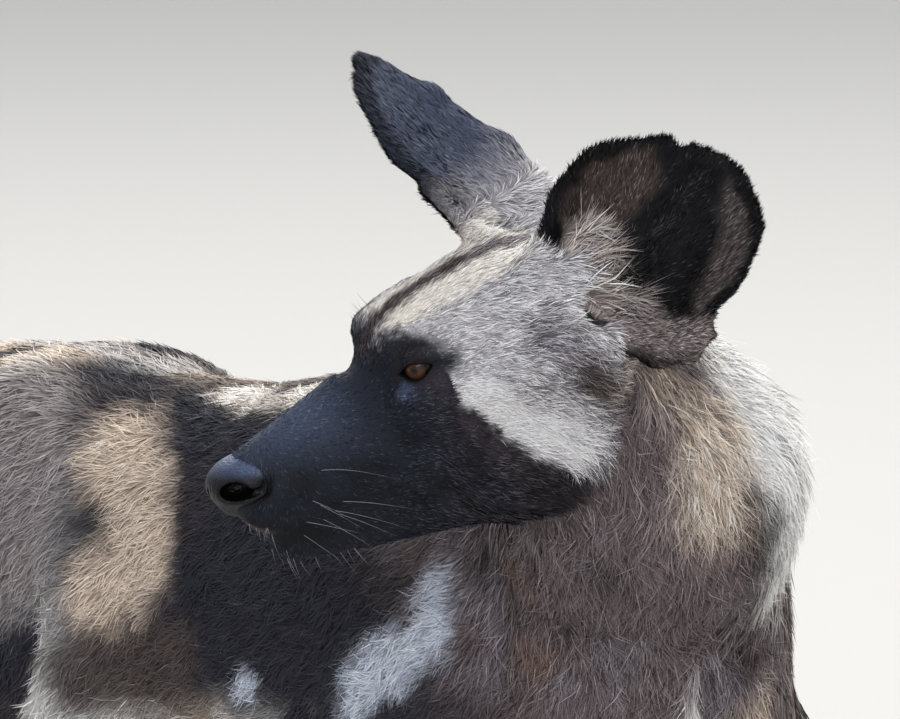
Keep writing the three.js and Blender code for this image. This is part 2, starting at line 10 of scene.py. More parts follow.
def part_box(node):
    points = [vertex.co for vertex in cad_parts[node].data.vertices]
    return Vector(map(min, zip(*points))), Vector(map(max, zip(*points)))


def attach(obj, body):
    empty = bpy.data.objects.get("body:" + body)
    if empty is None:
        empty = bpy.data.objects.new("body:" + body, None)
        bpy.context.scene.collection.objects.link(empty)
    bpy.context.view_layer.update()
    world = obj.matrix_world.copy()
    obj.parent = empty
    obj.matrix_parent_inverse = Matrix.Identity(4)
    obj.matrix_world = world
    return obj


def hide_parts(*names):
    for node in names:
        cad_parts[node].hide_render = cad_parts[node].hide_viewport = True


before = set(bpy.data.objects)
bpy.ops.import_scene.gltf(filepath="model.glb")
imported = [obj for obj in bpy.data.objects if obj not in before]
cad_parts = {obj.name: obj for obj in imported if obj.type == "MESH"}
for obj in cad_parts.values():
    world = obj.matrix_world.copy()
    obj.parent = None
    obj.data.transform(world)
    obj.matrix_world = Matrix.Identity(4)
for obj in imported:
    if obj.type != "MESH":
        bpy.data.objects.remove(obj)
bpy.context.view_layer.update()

bl_info = {
    "name": "African wild dog",
    "version": (1, 0, 0),
    "blender": (4, 5, 0),
    "location": "View3D > Sidebar > Wild dog",
    "description": "Builds the skin, coat, eyes, nose and claws of a life-size african wild dog",
    "category": "Add Mesh",
}

# Places and sizes are in millimetres in the animal's own frame: +Z up, facing -Y, its left at +X.
# put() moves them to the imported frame, in metres.
MM = 0.001
F = np.float32
HEAD_PLACE = np.array([-169, -201, 709], F)
HEAD_TURN, HEAD_NOD, HEAD_TILT = 156, 15.2, -9
EYE_PLACE = np.array([-6, 29, 2], F)
EYE_LOOK = np.array([0.66, 0.74, 0.08], F)
EYE_RADIUS = 10.8
ELBOW, WRIST = (66, -118, 395), (62, -146, 182)
STIFLE, HOCK = (60, 172, 412), (62, 312, 212)
FOOT_SPREAD, FORE_FOOT_Y, HIND_FOOT_Y = 62, -186, 268
FORE_PAW_HALF, HIND_PAW_HALF = 27, 26
TOES = ((-0.62, 24), (-0.22, 36), (0.22, 36), (0.62, 24))
TOE_RADIUS = 11
CLAW_LENGTH, CLAW_RADIUS = 19, 3.3
ACROSS, ACROSS_HEAD = (1, 0, 0), (0, 1, 0)
NOSE_PLACE = (89.5, 0, -38)
MOUTH_LINE = ((7, 41, -65), (26, 38, -71), (50, 30, -75), (76, 23, -69), (90, 15, -61), (94, 6, -56),
              (95, 0, -55))
TAIL = (((0, 300, 622), 30), ((0, 345, 600), 25), ((0, 378, 552), 25), ((0, 396, 490), 28),
        ((0, 402, 420), 31), ((0, 398, 355), 29), ((0, 390, 310), 20), ((0, 384, 278), 7))
# Root, middle, direction it faces and radius of the left and the right ear, in the head's frame
EARS = {1: ((-88, 51, 9), (-126, 43, 32), (0.47, 0.75, 0.47), 52),
        -1: ((-76, -52, 26), (-57, -79, 71), (0.9, -0.27, -0.29), 50)}

NECK = (((0, -120, 545), 84), ((-12, -190, 582), 76), ((-39, -238, 640), 76))
NAPE = (-86, 0, -26)  # in the head's frame
EAR_HEIGHT = 96
LIFT_OFF_FLOOR = 0.3


def linear(hex_colour):
    """The linear colour of an sRGB hex value"""
    parts = [int(hex_colour[i:i + 2], 16) / 255 for i in (1, 3, 5)]
    return tuple(c / 12.92 if c <= 0.04045 else ((c + 0.055) / 1.055) ** 2.4 for c in parts)


def unit(v):
    """Vectors brought to length one"""
    v = np.asarray(v, F)
    return v / np.maximum(np.linalg.norm(v, axis=-1, keepdims=True), 1e-9)


def ramp(x, start, end):
    """0 at start, 1 at end, smooth between"""
    t = np.clip((x - start) / (end - start), 0, 1)
    return t * t * (3 - 2 * t)


def mix(a, b, share):
    """a where the share is 0, b where it is 1"""
    return a + (b - a) * share


def turn_axes():
    """The head's own x, y and z axes, as rows: to the nose, to the animal's left, and up"""
    turn = [Matrix.Rotation(math.radians(angle), 3, axis)
            for angle, axis in ((HEAD_TURN, "Z"), (HEAD_NOD, "Y"), (HEAD_TILT, "X"))]
    return np.array(turn[0] @ turn[1] @ turn[2], F).T


HEAD_AXES = turn_axes()


def to_head(p):
    """Places in the head's frame"""
    return (p - HEAD_PLACE) @ HEAD_AXES.T


def from_head(q):
    """Places in the head's frame, brought back to the body's"""
    return np.asarray(q, F) @ HEAD_AXES + HEAD_PLACE


def packed_shift():
    """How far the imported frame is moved, found from the left eye's place in both"""
    low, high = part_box("eye_left")
    shift = (np.array(low) + np.array(high)) / 2 / MM - from_head(EYE_PLACE)
    shift[2] = 0
    return shift


SHIFT = packed_shift()


def put(p):
    """Places in millimetres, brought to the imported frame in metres"""
    return (p + SHIFT) * MM


def mirrored(p, axis):
    """Places folded over onto the left side"""
    p = p.copy()
    p[:, axis] = np.abs(p[:, axis])
    return p


# Distance fields: negative inside
def rod(p, a, b, radius_a, radius_b, side=None, squeeze=1.0):
    """A round cone from a to b, made narrower or wider along side"""
    a = np.array(a, F)
    axis = np.array(b, F) - a
    off = p - a
    t = np.clip(off @ (axis / (axis @ axis)), 0, 1)
    off -= t[:, None] * axis
    if side is not None:
        side = np.array(side, F)
        off += (squeeze - 1) * (off @ side)[:, None] * side
    return np.sqrt(np.einsum("ij,ij->i", off, off)) - (radius_a + (radius_b - radius_a) * t)


def egg(p, centre, radii):
    """An ellipsoid"""
    radii = np.array(radii, F)
    q = (p - np.array(centre, F)) / radii
    size = np.sqrt(np.einsum("ij,ij->i", q, q))
    q /= radii
    return size * (size - 1) / np.maximum(np.sqrt(np.einsum("ij,ij->i", q, q)), 1e-6)


def melt(a, b, reach):
    """The union of two fields, blended over reach"""
    h = np.maximum(reach - np.abs(a - b), 0) / reach
    return np.minimum(a, b) - h * h * (reach / 4)


def carve(a, b, reach):
    """The first field with the second taken out"""
    return -melt(-a, b, reach)


def chain(p, links, reach):
    """Round cones from place to place, blended over reach"""
    d = None
    for (a, radius_a), (b, radius_b) in zip(links, links[1:]):
        piece = rod(p, a, b, radius_a, radius_b)
        d = piece if d is None else melt(d, piece, reach)
    return d


def head_form(q):
    """Skull, muzzle, jaw, cheeks, brows and lids"""
    a = mirrored(q, 1)
    d = melt(egg(q, (-56, 0, -6), (60, 54, 46)), egg(q, (-16, 0, -8), (36, 37, 37)), 12)
    d = melt(d, egg(q, (-96, 0, -22), (32, 46, 46)), 20)
    muzzle = rod(q, (14, 0, -38), (77, 0, -43), 35, 19, ACROSS_HEAD, 0.82)
    muzzle = melt(muzzle, rod(a, (24, 12, -46), (78, 9, -50), 24, 14.5), 8)
    muzzle = melt(muzzle, rod(q, (30, 0, -14), (86, 0, -33), 13, 9, ACROSS_HEAD, 0.8), 8)
    d = melt(d, muzzle, 12)
    d = melt(d, rod(q, (-30, 0, -66), (68, 0, -72), 29, 13, ACROSS_HEAD, 0.75), 12)
    d = melt(d, egg(a, (-44, 40, -38), (44, 25, 46)), 18)
    d = melt(d, rod(a, (0, 36, -16), (-54, 54, -6), 12, 14), 16)
    d = melt(d, rod(a, (4, 19, 11), (-20, 32, 13), 8, 9), 14)
    d = melt(d, egg(a, EYE_PLACE, (13, 13, 12)), 5)
    return melt(d, chain(a, (((4, 35, 9), 2.4), ((-3, 40, 10.5), 3.3), ((-14, 43, 8), 2.8)), 1), 5)


def neck_form(p):
    """The neck, bent back over the right shoulder"""
    return chain(p, (*NECK, (from_head(NAPE), 56)), 12)


def trunk_form(p):
    """Chest, belly, loin, rump and the slopes of the shoulders"""
    a = mirrored(p, 0)
    d = egg(p, (0, -60, 528), (88, 190, 146))
    d = melt(d, rod(p, (0, -60, 582), (0, 285, 582), 76, 72), 50)
    d = melt(d, egg(p, (0, 110, 522), (76, 150, 84)), 40)
    d = melt(d, egg(p, (0, 250, 560), (78, 95, 80)), 40)
    d = melt(d, egg(p, (0, -100, 636), (36, 85, 38)), 30)
    d = melt(d, egg(p, (0, -190, 490), (60, 62, 84)), 40)
    d = melt(d, rod(p, (0, -70, 636), (-26, -212, 646), 34, 46), 40)
    d = melt(d, rod(a, (52, -95, 610), (58, -192, 482), 34, 35, ACROSS, 1.2), 40)
    return melt(d, rod(a, (60, -196, 482), ELBOW, 35, 32), 36)


def paw_form(a, y, half):
    """A paw with four toes"""
    d = egg(a, (FOOT_SPREAD, y, 17), (half, 32, 20))
    for across, ahead in TOES:
        knuckle = (FOOT_SPREAD + across * half * 1.05, y - ahead * 0.35, 23)
        tip = (FOOT_SPREAD + across * half * 1.3, y - ahead, TOE_RADIUS - 1)
        d = melt(d, rod(a, knuckle, tip, TOE_RADIUS + 1, TOE_RADIUS), 5)
    return d


def foreleg_form(a):
    """Forearm, wrist, pastern and fore paw"""
    d = rod(a, ELBOW, WRIST, 33, 19)
    d = melt(d, egg(a, (63, -148, 172), (19, 20, 28)), 12)
    d = melt(d, rod(a, WRIST, (62, -160, 50), 18, 19), 14)
    d = melt(d, rod(a, (62, -158, 50), (62, -176, 26), 19, 20, ACROSS, 0.85), 14)
    return melt(d, paw_form(a, FORE_FOOT_Y, FORE_PAW_HALF), 12)


def hindleg_form(a):
    """Thigh, shank, hock, pastern and hind paw"""
    d = rod(a, (42, 240, 570), STIFLE, 76, 42, ACROSS, 1.3)
    d = melt(d, rod(a, (38, 296, 560), (58, 262, 420), 44, 30), 40)
    d = melt(d, rod(a, STIFLE, (62, 296, 222), 37, 18), 40)
    d = melt(d, rod(a, (58, 262, 410), (62, 322, 225), 25, 11), 40)
    d = melt(d, rod(a, (59, 226, 405), (62, 298, 255), 33, 15), 30)
    d = melt(d, rod(a, (62, 318, 218), HOCK, 16, 17), 12)
    d = melt(d, rod(a, HOCK, (62, 294, 56), 18, 17), 14)
    d = melt(d, rod(a, (62, 292, 52), (62, 278, 26), 18, 20, ACROSS, 0.85), 14)
    return melt(d, paw_form(a, HIND_FOOT_Y, HIND_PAW_HALF), 12)


def ear_frame(side):
    """Root, axes (across, up, out), height of the middle over the root, and radius of an ear"""
    root, middle, face, radius = EARS[side]
    up = np.array(middle, F) - np.array(root, F)
    reach = float(np.linalg.norm(up))
    up = up / reach
    out = unit(np.array(face, F) - (np.array(face, F) @ up) * up)
    return np.array(root, F), np.stack([np.cross(up, out), up, out]), reach, radius


EAR_FRAMES = {side: ear_frame(side) for side in EARS}


def to_ear(q, side):
    """Places in an ear's frame: across, up from its root, and out of its cup"""
    root, axes = EAR_FRAMES[side][:2]
    return (q - root) @ axes.T


def ear_bow(v):
    """How far the ear's sides, 50 mm from its middle, stand out at each height"""
    return 26 - 12 * np.clip(v / EAR_HEIGHT, 0, 1)


def ear_cup(u, v):
    """How far the ear's middle surface stands out over its plane"""
    t = np.clip(v / EAR_HEIGHT, 0, 1)
    return ear_bow(v) * (u / 50) ** 2 + 8 * t * t - 10


def ear_ring(u, v, side, reach, radius):
    """Distance outside the round of an ear and of the flap at its foot"""
    return melt(np.hypot(u, v - reach) - radius, np.hypot(u - side * 36, v - 17) - 20, 6)


def ear_stalk(w, reach):
    """The fleshy foot behind an ear, which thins out up its back"""
    return chain(w, (((0, -16, -12), 25.5), ((0, 26, -18), 14), ((0, reach + 12, -14), 6.5),
                     ((0, reach + 38, -5), 3.5)), 8)


def ear_lobe(w, side):
    """The small rounded flap at the lower rear edge"""
    lobe = chain(w, (((side * 20, 1, -5), 7), ((side * 37, 1, 4), 6.5), ((side * 50, 8, 12), 5.5),
                     ((side * 54, 19, 16), 4)), 5)
    return carve(lobe, rod(w, (side * 30, 17, 12), (side * 50, 25, 24), 4, 4), 3)


def ear_edge(w, side):
    """The front edge, which runs down into the head"""
    return rod(w, (-side * 43, 30, 7), (-side * 39, -4, 4), 4, 5)


def ear_canal(w):
    """The hollow that leads down into the head"""
    return egg(w, (0, 16, 8), (14, 26, 15))


def ear_form(q, side):
    """A round cupped ear on its fleshy foot, open down into the head, with a rolled front edge"""
    reach, radius = EAR_FRAMES[side][2:]
    w = to_ear(q, side)
    u, v, n = w.T
    angle = np.arctan2(u, v - reach)
    notch = np.exp(-((angle + side * 0.42) / 0.07) ** 2)
    waves = 0.9 * np.sin(3 * angle + 0.6) + 0.7 * np.sin(9 * angle) - 3.5 * notch
    ring = ear_ring(u, v, side, reach, radius) + 1.2 - waves
    slope = np.sqrt(1 + (ear_bow(v) * u / 1250) ** 2)
    thick = 5.4 - 1.1 * np.clip(v / 60, 0, 1)
    sheet = np.abs(n - ear_cup(u, v)) / slope - thick / 2
    d = carve(sheet, -ring, 3)
    d = melt(d, ear_stalk(w, reach), 16)
    d = carve(d, ear_canal(w), 8)
    fold = rod(w, (-side * 26, 6, -2), (-side * 30, 42, 2), 5, 2.4)
    fold = melt(fold, ear_lobe(w, side), 4)
    fold = melt(fold, ear_edge(w, side), 4)
    return melt(d, fold, 5)


def territory(q, p, forms):
    """The share that each stretch of coat has in the places p: rows sum to one"""
    near = np.exp(-np.maximum(np.stack(forms, 1) + 6, 0) / 9)
    near /= near.sum(1, keepdims=True)
    head, neck, trunk, fore, hind, tail = near.T
    front, back = ramp(q[:, 0], -14, 30), ramp(q[:, 0], -25, -75)
    leg, foot, thigh = fore + hind, ramp(p[:, 2], 85, 45), ramp(p[:, 2], 300, 430)
    return np.stack([
        head * front, head * (1 - front) * (1 - back), head * back, neck, trunk,
        leg * thigh, leg * (1 - thigh) * (1 - foot), leg * (1 - thigh) * foot, tail,
    ], 1)


# Depth of the coat over the skin and length of its hair (mm), width of a tuft (mm), tufts to a
# square millimetre, and how far the tufts stand up (degrees), for each stretch of coat
COAT = np.array([
    (1.4, 3.2, 0.36, 2.4, 18),    # muzzle
    (2.2, 4.8, 0.40, 2.0, 18),    # face
    (3.4, 8.0, 0.44, 2.0, 18),    # crown and cheeks
    (10.0, 18.0, 0.52, 1.42, 19), # neck
    (5.5, 13.0, 0.75, 0.42, 16),  # trunk
    (4.5, 11.0, 1.00, 0.18, 15),  # shoulder and thigh
    (2.4, 6.5, 1.00, 0.22, 15),   # leg
    (1.5, 4.5, 0.80, 0.50, 16),   # foot
    (12.0, 36.0, 1.20, 0.28, 16), # tail
], F)


def only_where(near, form, p):
    """The form's field in the places that are near it, and a large distance elsewhere"""
    d = np.full(len(p), 120, F)
    if near.any():
        d[near] = form(p[near])
    return d


def tail_form(p):
    """The tail with its brush"""
    return chain(p, TAIL, 4)


def forms_of(p, q):
    """The fields of head, neck, trunk, fore legs, hind legs and tail"""
    a = mirrored(p, 0)
    y, z = p[:, 1], p[:, 2]
    return [
        only_where(np.abs(q + (20, 0, 20)).max(1) < 190, head_form, q),
        only_where(np.linalg.norm(p - (-20, -190, 610), axis=1) < 260, neck_form, p),
        only_where(z > 270, trunk_form, p),
        only_where((y < 20) & (z < 540), foreleg_form, a),
        only_where((y > 50) & (z < 720), hindleg_form, a),
        only_where((y > 200) & (z > 180), tail_form, p),
    ]


def eye_nearness(q):
    """1 at an eye's lids, 0 well away from it"""
    return ramp(np.linalg.norm(mirrored(q, 1) - EYE_PLACE, axis=1), 24, 14)


def lid_opening(q):
    """The almond between the lids, in the half axes of its own frame"""
    look = unit(EYE_LOOK)
    along = unit(np.cross((0, 0, 1), look))
    upward = np.cross(look, along)
    off = mirrored(q, 1) - (EYE_PLACE + look * 11)
    s, t, n = off @ along, off @ upward, off @ look
    s, t = s * 0.97 + t * 0.24, t * 0.97 - s * 0.24
    bow = np.clip(1 - (s / 9.6) ** 2, -1, 1)
    gap = np.where(t > 0, t - 3.4 * bow, -t - 5.2 * bow)
    return np.maximum(np.maximum(gap * 0.8, np.abs(s) - 9.4), np.abs(n) - 9)


def flesh(p):
    """The skin's surface, which lies under the solids' surface by the depth of the coat"""
    p = p.astype(F)
    q = to_head(p)
    forms = forms_of(p, q)
    head, neck, trunk, fore, hind, tail = forms
    d = melt(melt(trunk, fore, 26), hind, 50)
    d = melt(melt(d, neck, 50), tail, 26)
    d = melt(d, head, 26)
    nap = territory(q, p, forms) @ COAT[:, 0]
    nap = mix(nap, 0.9, eye_nearness(q))
    d = d + nap
    a = mirrored(q, 1)
    lip = chain(a, [(place, 3.0) for place in MOUTH_LINE], 1)
    d = carve(d, lip, 1.5)
    d = carve(d, lid_opening(q), 0.7)
    d = carve(d, only_where(q[:, 0] > 60, nostrils, q) - 1.8, 1.5)
    for side, (root, axes, reach, _) in EAR_FRAMES.items():
        near = np.linalg.norm(q - (root + axes[1] * reach * 0.6), axis=1) < 125
        d = melt(d, only_where(near, lambda places: ear_form(places, side), q), 12)
    return np.maximum(d, LIFT_OFF_FLOOR - p[:, 2])


def grid_line(low, high, zones, coarse):
    """Grid places from low to high. Each zone (start, end, step) is finer than the rest."""
    line = [low]
    while line[-1] < high:
        x = line[-1]
        line.append(x + min([coarse] + [step + 0.3 * max(a - x, x - b, 0) for a, b, step in zones]))
    return np.array(line, F)


def sample(field, lines, block=4):
    """The field on the grid, worked out only in the blocks that its surface may cross"""
    shape = [len(line) for line in lines]
    starts = [np.arange(0, n, block) for n in shape]
    ends = [np.minimum(s + block, n - 1) for s, n in zip(starts, shape)]
    middle = [(line[s] + line[e]) / 2 for line, s, e in zip(lines, starts, ends)]
    half = [(line[e] - line[s]) / 2 for line, s, e in zip(lines, starts, ends)]
    centres = np.stack(np.meshgrid(*middle, indexing="ij"), -1)
    reach = np.linalg.norm(np.stack(np.meshgrid(*half, indexing="ij"), -1), axis=-1)
    coarse = field(centres.reshape(-1, 3)).reshape(reach.shape)
    near = np.abs(coarse) < reach * 1.3 + 3

    def spread(a):
        """A value for each block, repeated for each place of the block"""
        for axis in range(3):
            a = np.repeat(a, block, axis)
        return a[:shape[0], :shape[1], :shape[2]]

    values = np.where(spread(coarse) < 0, F(-60), F(60))
    at = np.argwhere(spread(near))
    places = np.stack([line[at[:, k]] for k, line in enumerate(lines)], 1)
    found = np.concatenate([field(part) for part in np.array_split(places, max(1, len(places) // 300000))])
    values[tuple(at.T)] = found
    return values


def net(values, lines):
    """A closed net of quads over the surface, with a corner in each cell that the surface crosses"""
    inside = values < 0
    shape = np.array(values.shape)
    count = sum(inside[a:shape[0] - 1 + a, b:shape[1] - 1 + b, c:shape[2] - 1 + c].astype(np.uint8)
                for a, b, c in product((0, 1), repeat=3))
    crossed = (count > 0) & (count < 8)
    cells = np.argwhere(crossed)
    index = np.full(crossed.shape, -1, np.int32)
    index[tuple(cells.T)] = np.arange(len(cells))
    total, hits = np.zeros((len(cells), 3)), np.zeros(len(cells))
    for axis in range(3):
        others = [k for k in range(3) if k != axis]
        for steps in product((0, 1), repeat=2):
            start = cells.copy()
            start[:, others] += steps
            end = start.copy()
            end[:, axis] += 1
            v0, v1 = values[tuple(start.T)], values[tuple(end.T)]
            cut = (v0 < 0) != (v1 < 0)
            t = v0[cut] / (v0[cut] - v1[cut])
            for k, line in enumerate(lines):
                place = line[start[cut, k]]
                if k == axis:
                    place = place + t * (line[end[cut, k]] - place)
                total[cut, k] += place
            hits[cut] += 1
    faces = []
    for axis in range(3):
        b, c = (axis + 1) % 3, (axis + 2) % 3
        low, high = [slice(None)] * 3, [slice(None)] * 3
        low[axis], high[axis] = slice(0, shape[axis] - 1), slice(1, shape[axis])
        edge = np.argwhere(inside[tuple(low)] != inside[tuple(high)])
        across = edge[:, [b, c]]
        edge = edge[((across > 0) & (across < shape[[b, c]] - 1)).all(1)]
        ring = []
        for step_b, step_c in ((0, 0), (-1, 0), (-1, -1), (0, -1)):
            cell = edge.copy()
            cell[:, b] += step_b
            cell[:, c] += step_c
            ring.append(index[tuple(cell.T)])
        quad = np.stack(ring, 1)
        flip = ~inside[tuple(edge.T)]
        quad[flip] = quad[flip][:, ::-1]
        faces.append(quad)
    if min(quad.min() for quad in faces) < 0:
        raise RuntimeError("the surface leaves the cells that were worked out")
    return total / hits[:, None], np.concatenate(faces)


def slope_of(field, p, step=0.4):
    """How fast the field grows along each axis"""
    corners = np.array([[1, 1, 1], [1, -1, -1], [-1, 1, -1], [-1, -1, 1]], F)
    return sum(corner * field(p + corner * step)[:, None] for corner in corners) / (4 * step)


def settle(field, points, faces, rounds=2):
    """Evens the net out and brings it back to the surface"""
    ends = np.concatenate([faces[:, [0, 1]], faces[:, [1, 2]], faces[:, [2, 3]], faces[:, [3, 0]]])
    count = np.bincount(ends[:, 0], minlength=len(points)) + np.bincount(ends[:, 1], minlength=len(points))
    for turn in range(rounds):
        for k in range(2):
            d, slope = field(points), slope_of(field, points)
            step = (d / np.maximum((slope * slope).sum(1), 0.25))[:, None] * slope
            length = np.linalg.norm(step, axis=1, keepdims=True)
            points = points - step * np.minimum(1, 2.0 / np.maximum(length, 1e-6))
        if turn == rounds - 1:
            break
        mean = np.stack([
            np.bincount(ends[:, 0], points[ends[:, 1], k], len(points))
            + np.bincount(ends[:, 1], points[ends[:, 0], k], len(points)) for k in range(3)], 1)
        points = points * 0.5 + 0.5 * mean / count[:, None]
    return points, unit(slope_of(field, points))


# Meshes and materials
def mesh_object(name, points, faces):
    """A mesh object with these points, whose faces all have the same number of corners"""
    mesh = bpy.data.meshes.new(name)
    mesh.vertices.add(len(points))
    mesh.vertices.foreach_set("co", points.astype(F).ravel())
    mesh.loops.add(faces.size)
    mesh.loops.foreach_set("vertex_index", faces.ravel().astype(np.int32))
    mesh.polygons.add(len(faces))
    mesh.polygons.foreach_set("loop_start", np.arange(0, faces.size, faces.shape[1], dtype=np.int32))
    mesh.update(calc_edges=True)
    piece = bpy.data.objects.new(name, mesh)
    bpy.context.scene.collection.objects.link(piece)
    return piece


def new_piece(name, points, faces, slot):
    """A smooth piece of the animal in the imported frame, from places in millimetres"""
    piece = mesh_object(name, put(np.asarray(points, float)), faces)
    piece.data.validate()
    piece.data.polygons.foreach_set("use_smooth", np.ones(len(faces), bool))
    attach(piece, "root")
    return piece


def paint(mesh, name, colours):
    """Gives each corner point of the mesh its colour"""
    layer = mesh.attributes.new(name, "FLOAT_COLOR", "POINT")
    rgba = np.ones((len(colours), 4), F)
    rgba[:, :3] = colours
    layer.data.foreach_set("color", rgba.ravel())


def add_node(tree, kind, inputs=None, **settings):
    """Adds a node, sets its properties and sockets, and links the sockets given as (node, output)"""
    node = tree.nodes.new(kind)
    for key, value in settings.items():
        setattr(node, key, value)
    for key, value in (inputs or {}).items():
        socket = node.inputs[key]
        if isinstance(value, tuple) and len(value) == 2 and isinstance(value[0], bpy.types.Node):
            tree.links.new(value[0].outputs[value[1]], socket)
        else:
            socket.default_value = value
    return node


def new_material(name, **sockets):
    """A material whose shader has these values on its own sockets"""
    material = bpy.data.materials.new(name)
    material.use_nodes = True
    tree = material.node_tree
    shader = tree.nodes["Principled BSDF"]
    for key, value in sockets.items():
        shader.inputs[key.replace("_", " ")].default_value = value
    return material, tree, shader


def set_stops(bands, stops):
    """Gives a colour ramp its places and the names of their hues"""
    elements = bands.color_ramp.elements
    while len(elements) < len(stops):
        elements.new(0.5)
    for element, (at, name) in zip(elements, stops):
        element.position, element.color = at, (*hue_of(name), 1)


# Noise
NOISE_VALUES = 4096  # a power of two


def noise(p, size, seed):
    """Smooth random values from -1 to 1 with bumps about size millimetres apart"""
    table = np.random.default_rng(seed).uniform(-1, 1, NOISE_VALUES).astype(F)
    x = p / size + 512
    cell = np.floor(x).astype(np.int64)
    f = (x - cell).astype(F)
    f = f * f * (3 - 2 * f)
    total = np.zeros(len(p), F)
    for corner in product((0, 1), repeat=3):
        i = cell + np.array(corner)
        key = (i[:, 0] * 73856093 ^ i[:, 1] * 19349663 ^ i[:, 2] * 83492791) & (NOISE_VALUES - 1)
        weight = np.prod(np.where(corner, f, 1 - f), axis=1)
        total += table[key] * weight
    return total


def wobble(p, size, far, seed):
    """Places moved by smooth noise, so that an edge drawn through them wanders"""
    move = [noise(p, size, seed + k) + 0.5 * noise(p, size / 2.3, seed + 10 + k) for k in range(3)]
    return p + far * np.stack(move, 1)


# Markings
HUE_LIST = {
    "mask": ("#20242f", "Dark fur of the muzzle and round the eyes"),
    # Painted sheen: the sky's light on top of the muzzle, laid into the fur's colour
    "muzzle_painted_sheen": ("#56617a", "Sheen on top of the muzzle"),
    "jowl": ("#3d363d", "Back of the dark mask, on the cheek"),
    "brow": ("#25272f", "Short fur of the brows"),
    "tear": ("#4d5a72", "Corner below the eye"),
    "lip": ("#705a5c", "Lips and chin"),
    "stripe": ("#453a3b", "Stripe up the forehead"),
    "cream": ("#f1e8dc", "Forehead beside the stripe"),
    "pale": ("#ebe8e6", "Pale sweep over the cheek"),
    "grizzle": ("#c9c6c8", "Grizzled sides of the head"),
    "ash": ("#7b757a", "Grey wash"),
    "slate": ("#2a2a32", "Dark patches of the body"),
    "umber": ("#4d4341", "Brown patches"),
    "dusk": ("#1f1b1e", "Darkest brown patches"),
    # Black patches, and also the painted shade inside the nostril holes
    "ink": ("#121115", "Black patches"),
    "throat": ("#6c6061", "Grey-brown fur of the neck"),
    "tan": ("#d0beac", "Tan patches"),
    "flank": ("#8f8887", "Grey fur of the rump"),
    "dun": ("#b3adaa", "Dull pale fur on the back"),
    "rust": ("#745c4d", "Reddish patch of the throat"),
    # Partly the ruff's own white fur, partly a painted highlight where the light falls on the nape
    "ruff": ("#fbf8f4", "White ruff behind the ear"),
    "white": ("#ebe8e3", "White patches"),
    "smoke": ("#c6cddb", "Bluish white patch of the shoulder"),
    "ear_back": ("#464c5e", "Back of the ears"),
    "ear_black": ("#09080a", "Black middle and rim of the ears"),
    "ear_skin": ("#453a35", "Brown fur inside the front of the ears"),
    "ear_hair": ("#ada29b", "Pale tufts inside the ears"),
    "ear_rim": ("#4a4342", "Thin fur along the rear of the ears"),
    "ear_lobe": ("#7d7371", "Flap at the foot of the ears"),
    # Painted sheen: the grey-blue of the light that lies on the nose's top
    "nose_top_painted_sheen": ("#4b5877", "Top of the nose"),
    "nose_side": ("#0e1016", "Sides of the nose"),
    "pupil": ("#020202", "Middle of the pupil"),
    "pupil_edge": ("#030303", "Edge of the pupil"),
    "iris_inside": ("#20130d", "Iris beside the pupil"),
    "iris": ("#452e20", "Middle of the iris"),
    "iris_outside": ("#37251b", "Outer part of the iris"),
    "iris_rim": ("#100a08", "Dark rim of the iris"),
    "eye_corner": ("#14100e", "Eyeball beside the iris"),
    "eye_back": ("#181312", "Eyeball under the lids"),
    "whisker_dark": ("#77727b", "Darker bands of the whiskers"),
    "whisker_pale": ("#b9b4b8", "Paler bands of the whiskers"),
    "lash_dark": ("#0c0b0e", "Darker bands of the lashes"),
    "lash_pale": ("#1b191d", "Paler bands of the lashes"),
    "claw_dark": ("#1b1817", "Darker streaks of the claws"),
    "claw_pale": ("#4a413b", "Paler streaks of the claws"),
}


class WildDogHues(bpy.types.PropertyGroup):
    """Colours of the coat, nose, eyes, whiskers and claws"""
    __annotations__ = {
        name: FloatVectorProperty(name=name.replace("_", " ").capitalize(), description=use,
                                  default=linear(code), subtype="COLOR", min=0, max=1)
        for name, (code, use) in HUE_LIST.items()}


def hue_of(name):
    """A colour from the scene's settings"""
    return np.array(getattr(bpy.context.scene.wild_dog_hues, name), F)


# Materials
# Spacing and height of the patterns in millimetres. A hair is 0.05 thick, so the patterns of the coat are
# drawn coarser, to show.
SHORT_HAIR_GRAIN, GUARD_HAIR_BANDS, WHISKER_BANDS, CLAW_STREAKS, NOSE_PEBBLES = 1.6, 3, 9, 4, 1.3
PATTERN_HEIGHT = 0.35


def pattern(tree, kind, spacing, **sockets):
    """A pattern whose bumps are this far apart on the object"""
    place = add_node(tree, "ShaderNodeTexCoord")
    return add_node(tree, kind, {"Vector": (place, "Object"), "Scale": 1 / (spacing * MM), **sockets})


def shade_paint(tree, shader, attribute, source, low, high):
    """Colours the shader with a painted attribute, darkened and lightened by a pattern's output"""
    colour = add_node(tree, "ShaderNodeAttribute", attribute_name=attribute)
    amount = add_node(tree, "ShaderNodeMapRange", {"Value": source, "To Min": low, "To Max": high})
    tone = add_node(tree, "ShaderNodeVectorMath", {0: (colour, "Color"), 1: (amount, "Result")},
                    operation="MULTIPLY")
    tree.links.new(tone.outputs["Vector"], shader.inputs["Base Color"])


def emboss(tree, shader, source, strength, invert=False):
    """Raises a pattern's output as bump"""
    bump = add_node(tree, "ShaderNodeBump", {
        "Height": source, "Distance": PATTERN_HEIGHT * MM, "Strength": strength}, invert=invert)
    tree.links.new(bump.outputs["Normal"], shader.inputs["Normal"])


def skin_material():
    """Skin under short fur: matt, with the fine grain of hair that lies flat"""
    material, tree, shader = new_material("short_fur_skin", Roughness=0.62, Specular_IOR_Level=0.15)
    grain = pattern(tree, "ShaderNodeTexNoise", SHORT_HAIR_GRAIN, Detail=3.0)
    shade_paint(tree, shader, "coat_colour", (grain, "Fac"), 0.7, 1.25)
    emboss(tree, shader, (grain, "Fac"), 0.6)
    return material


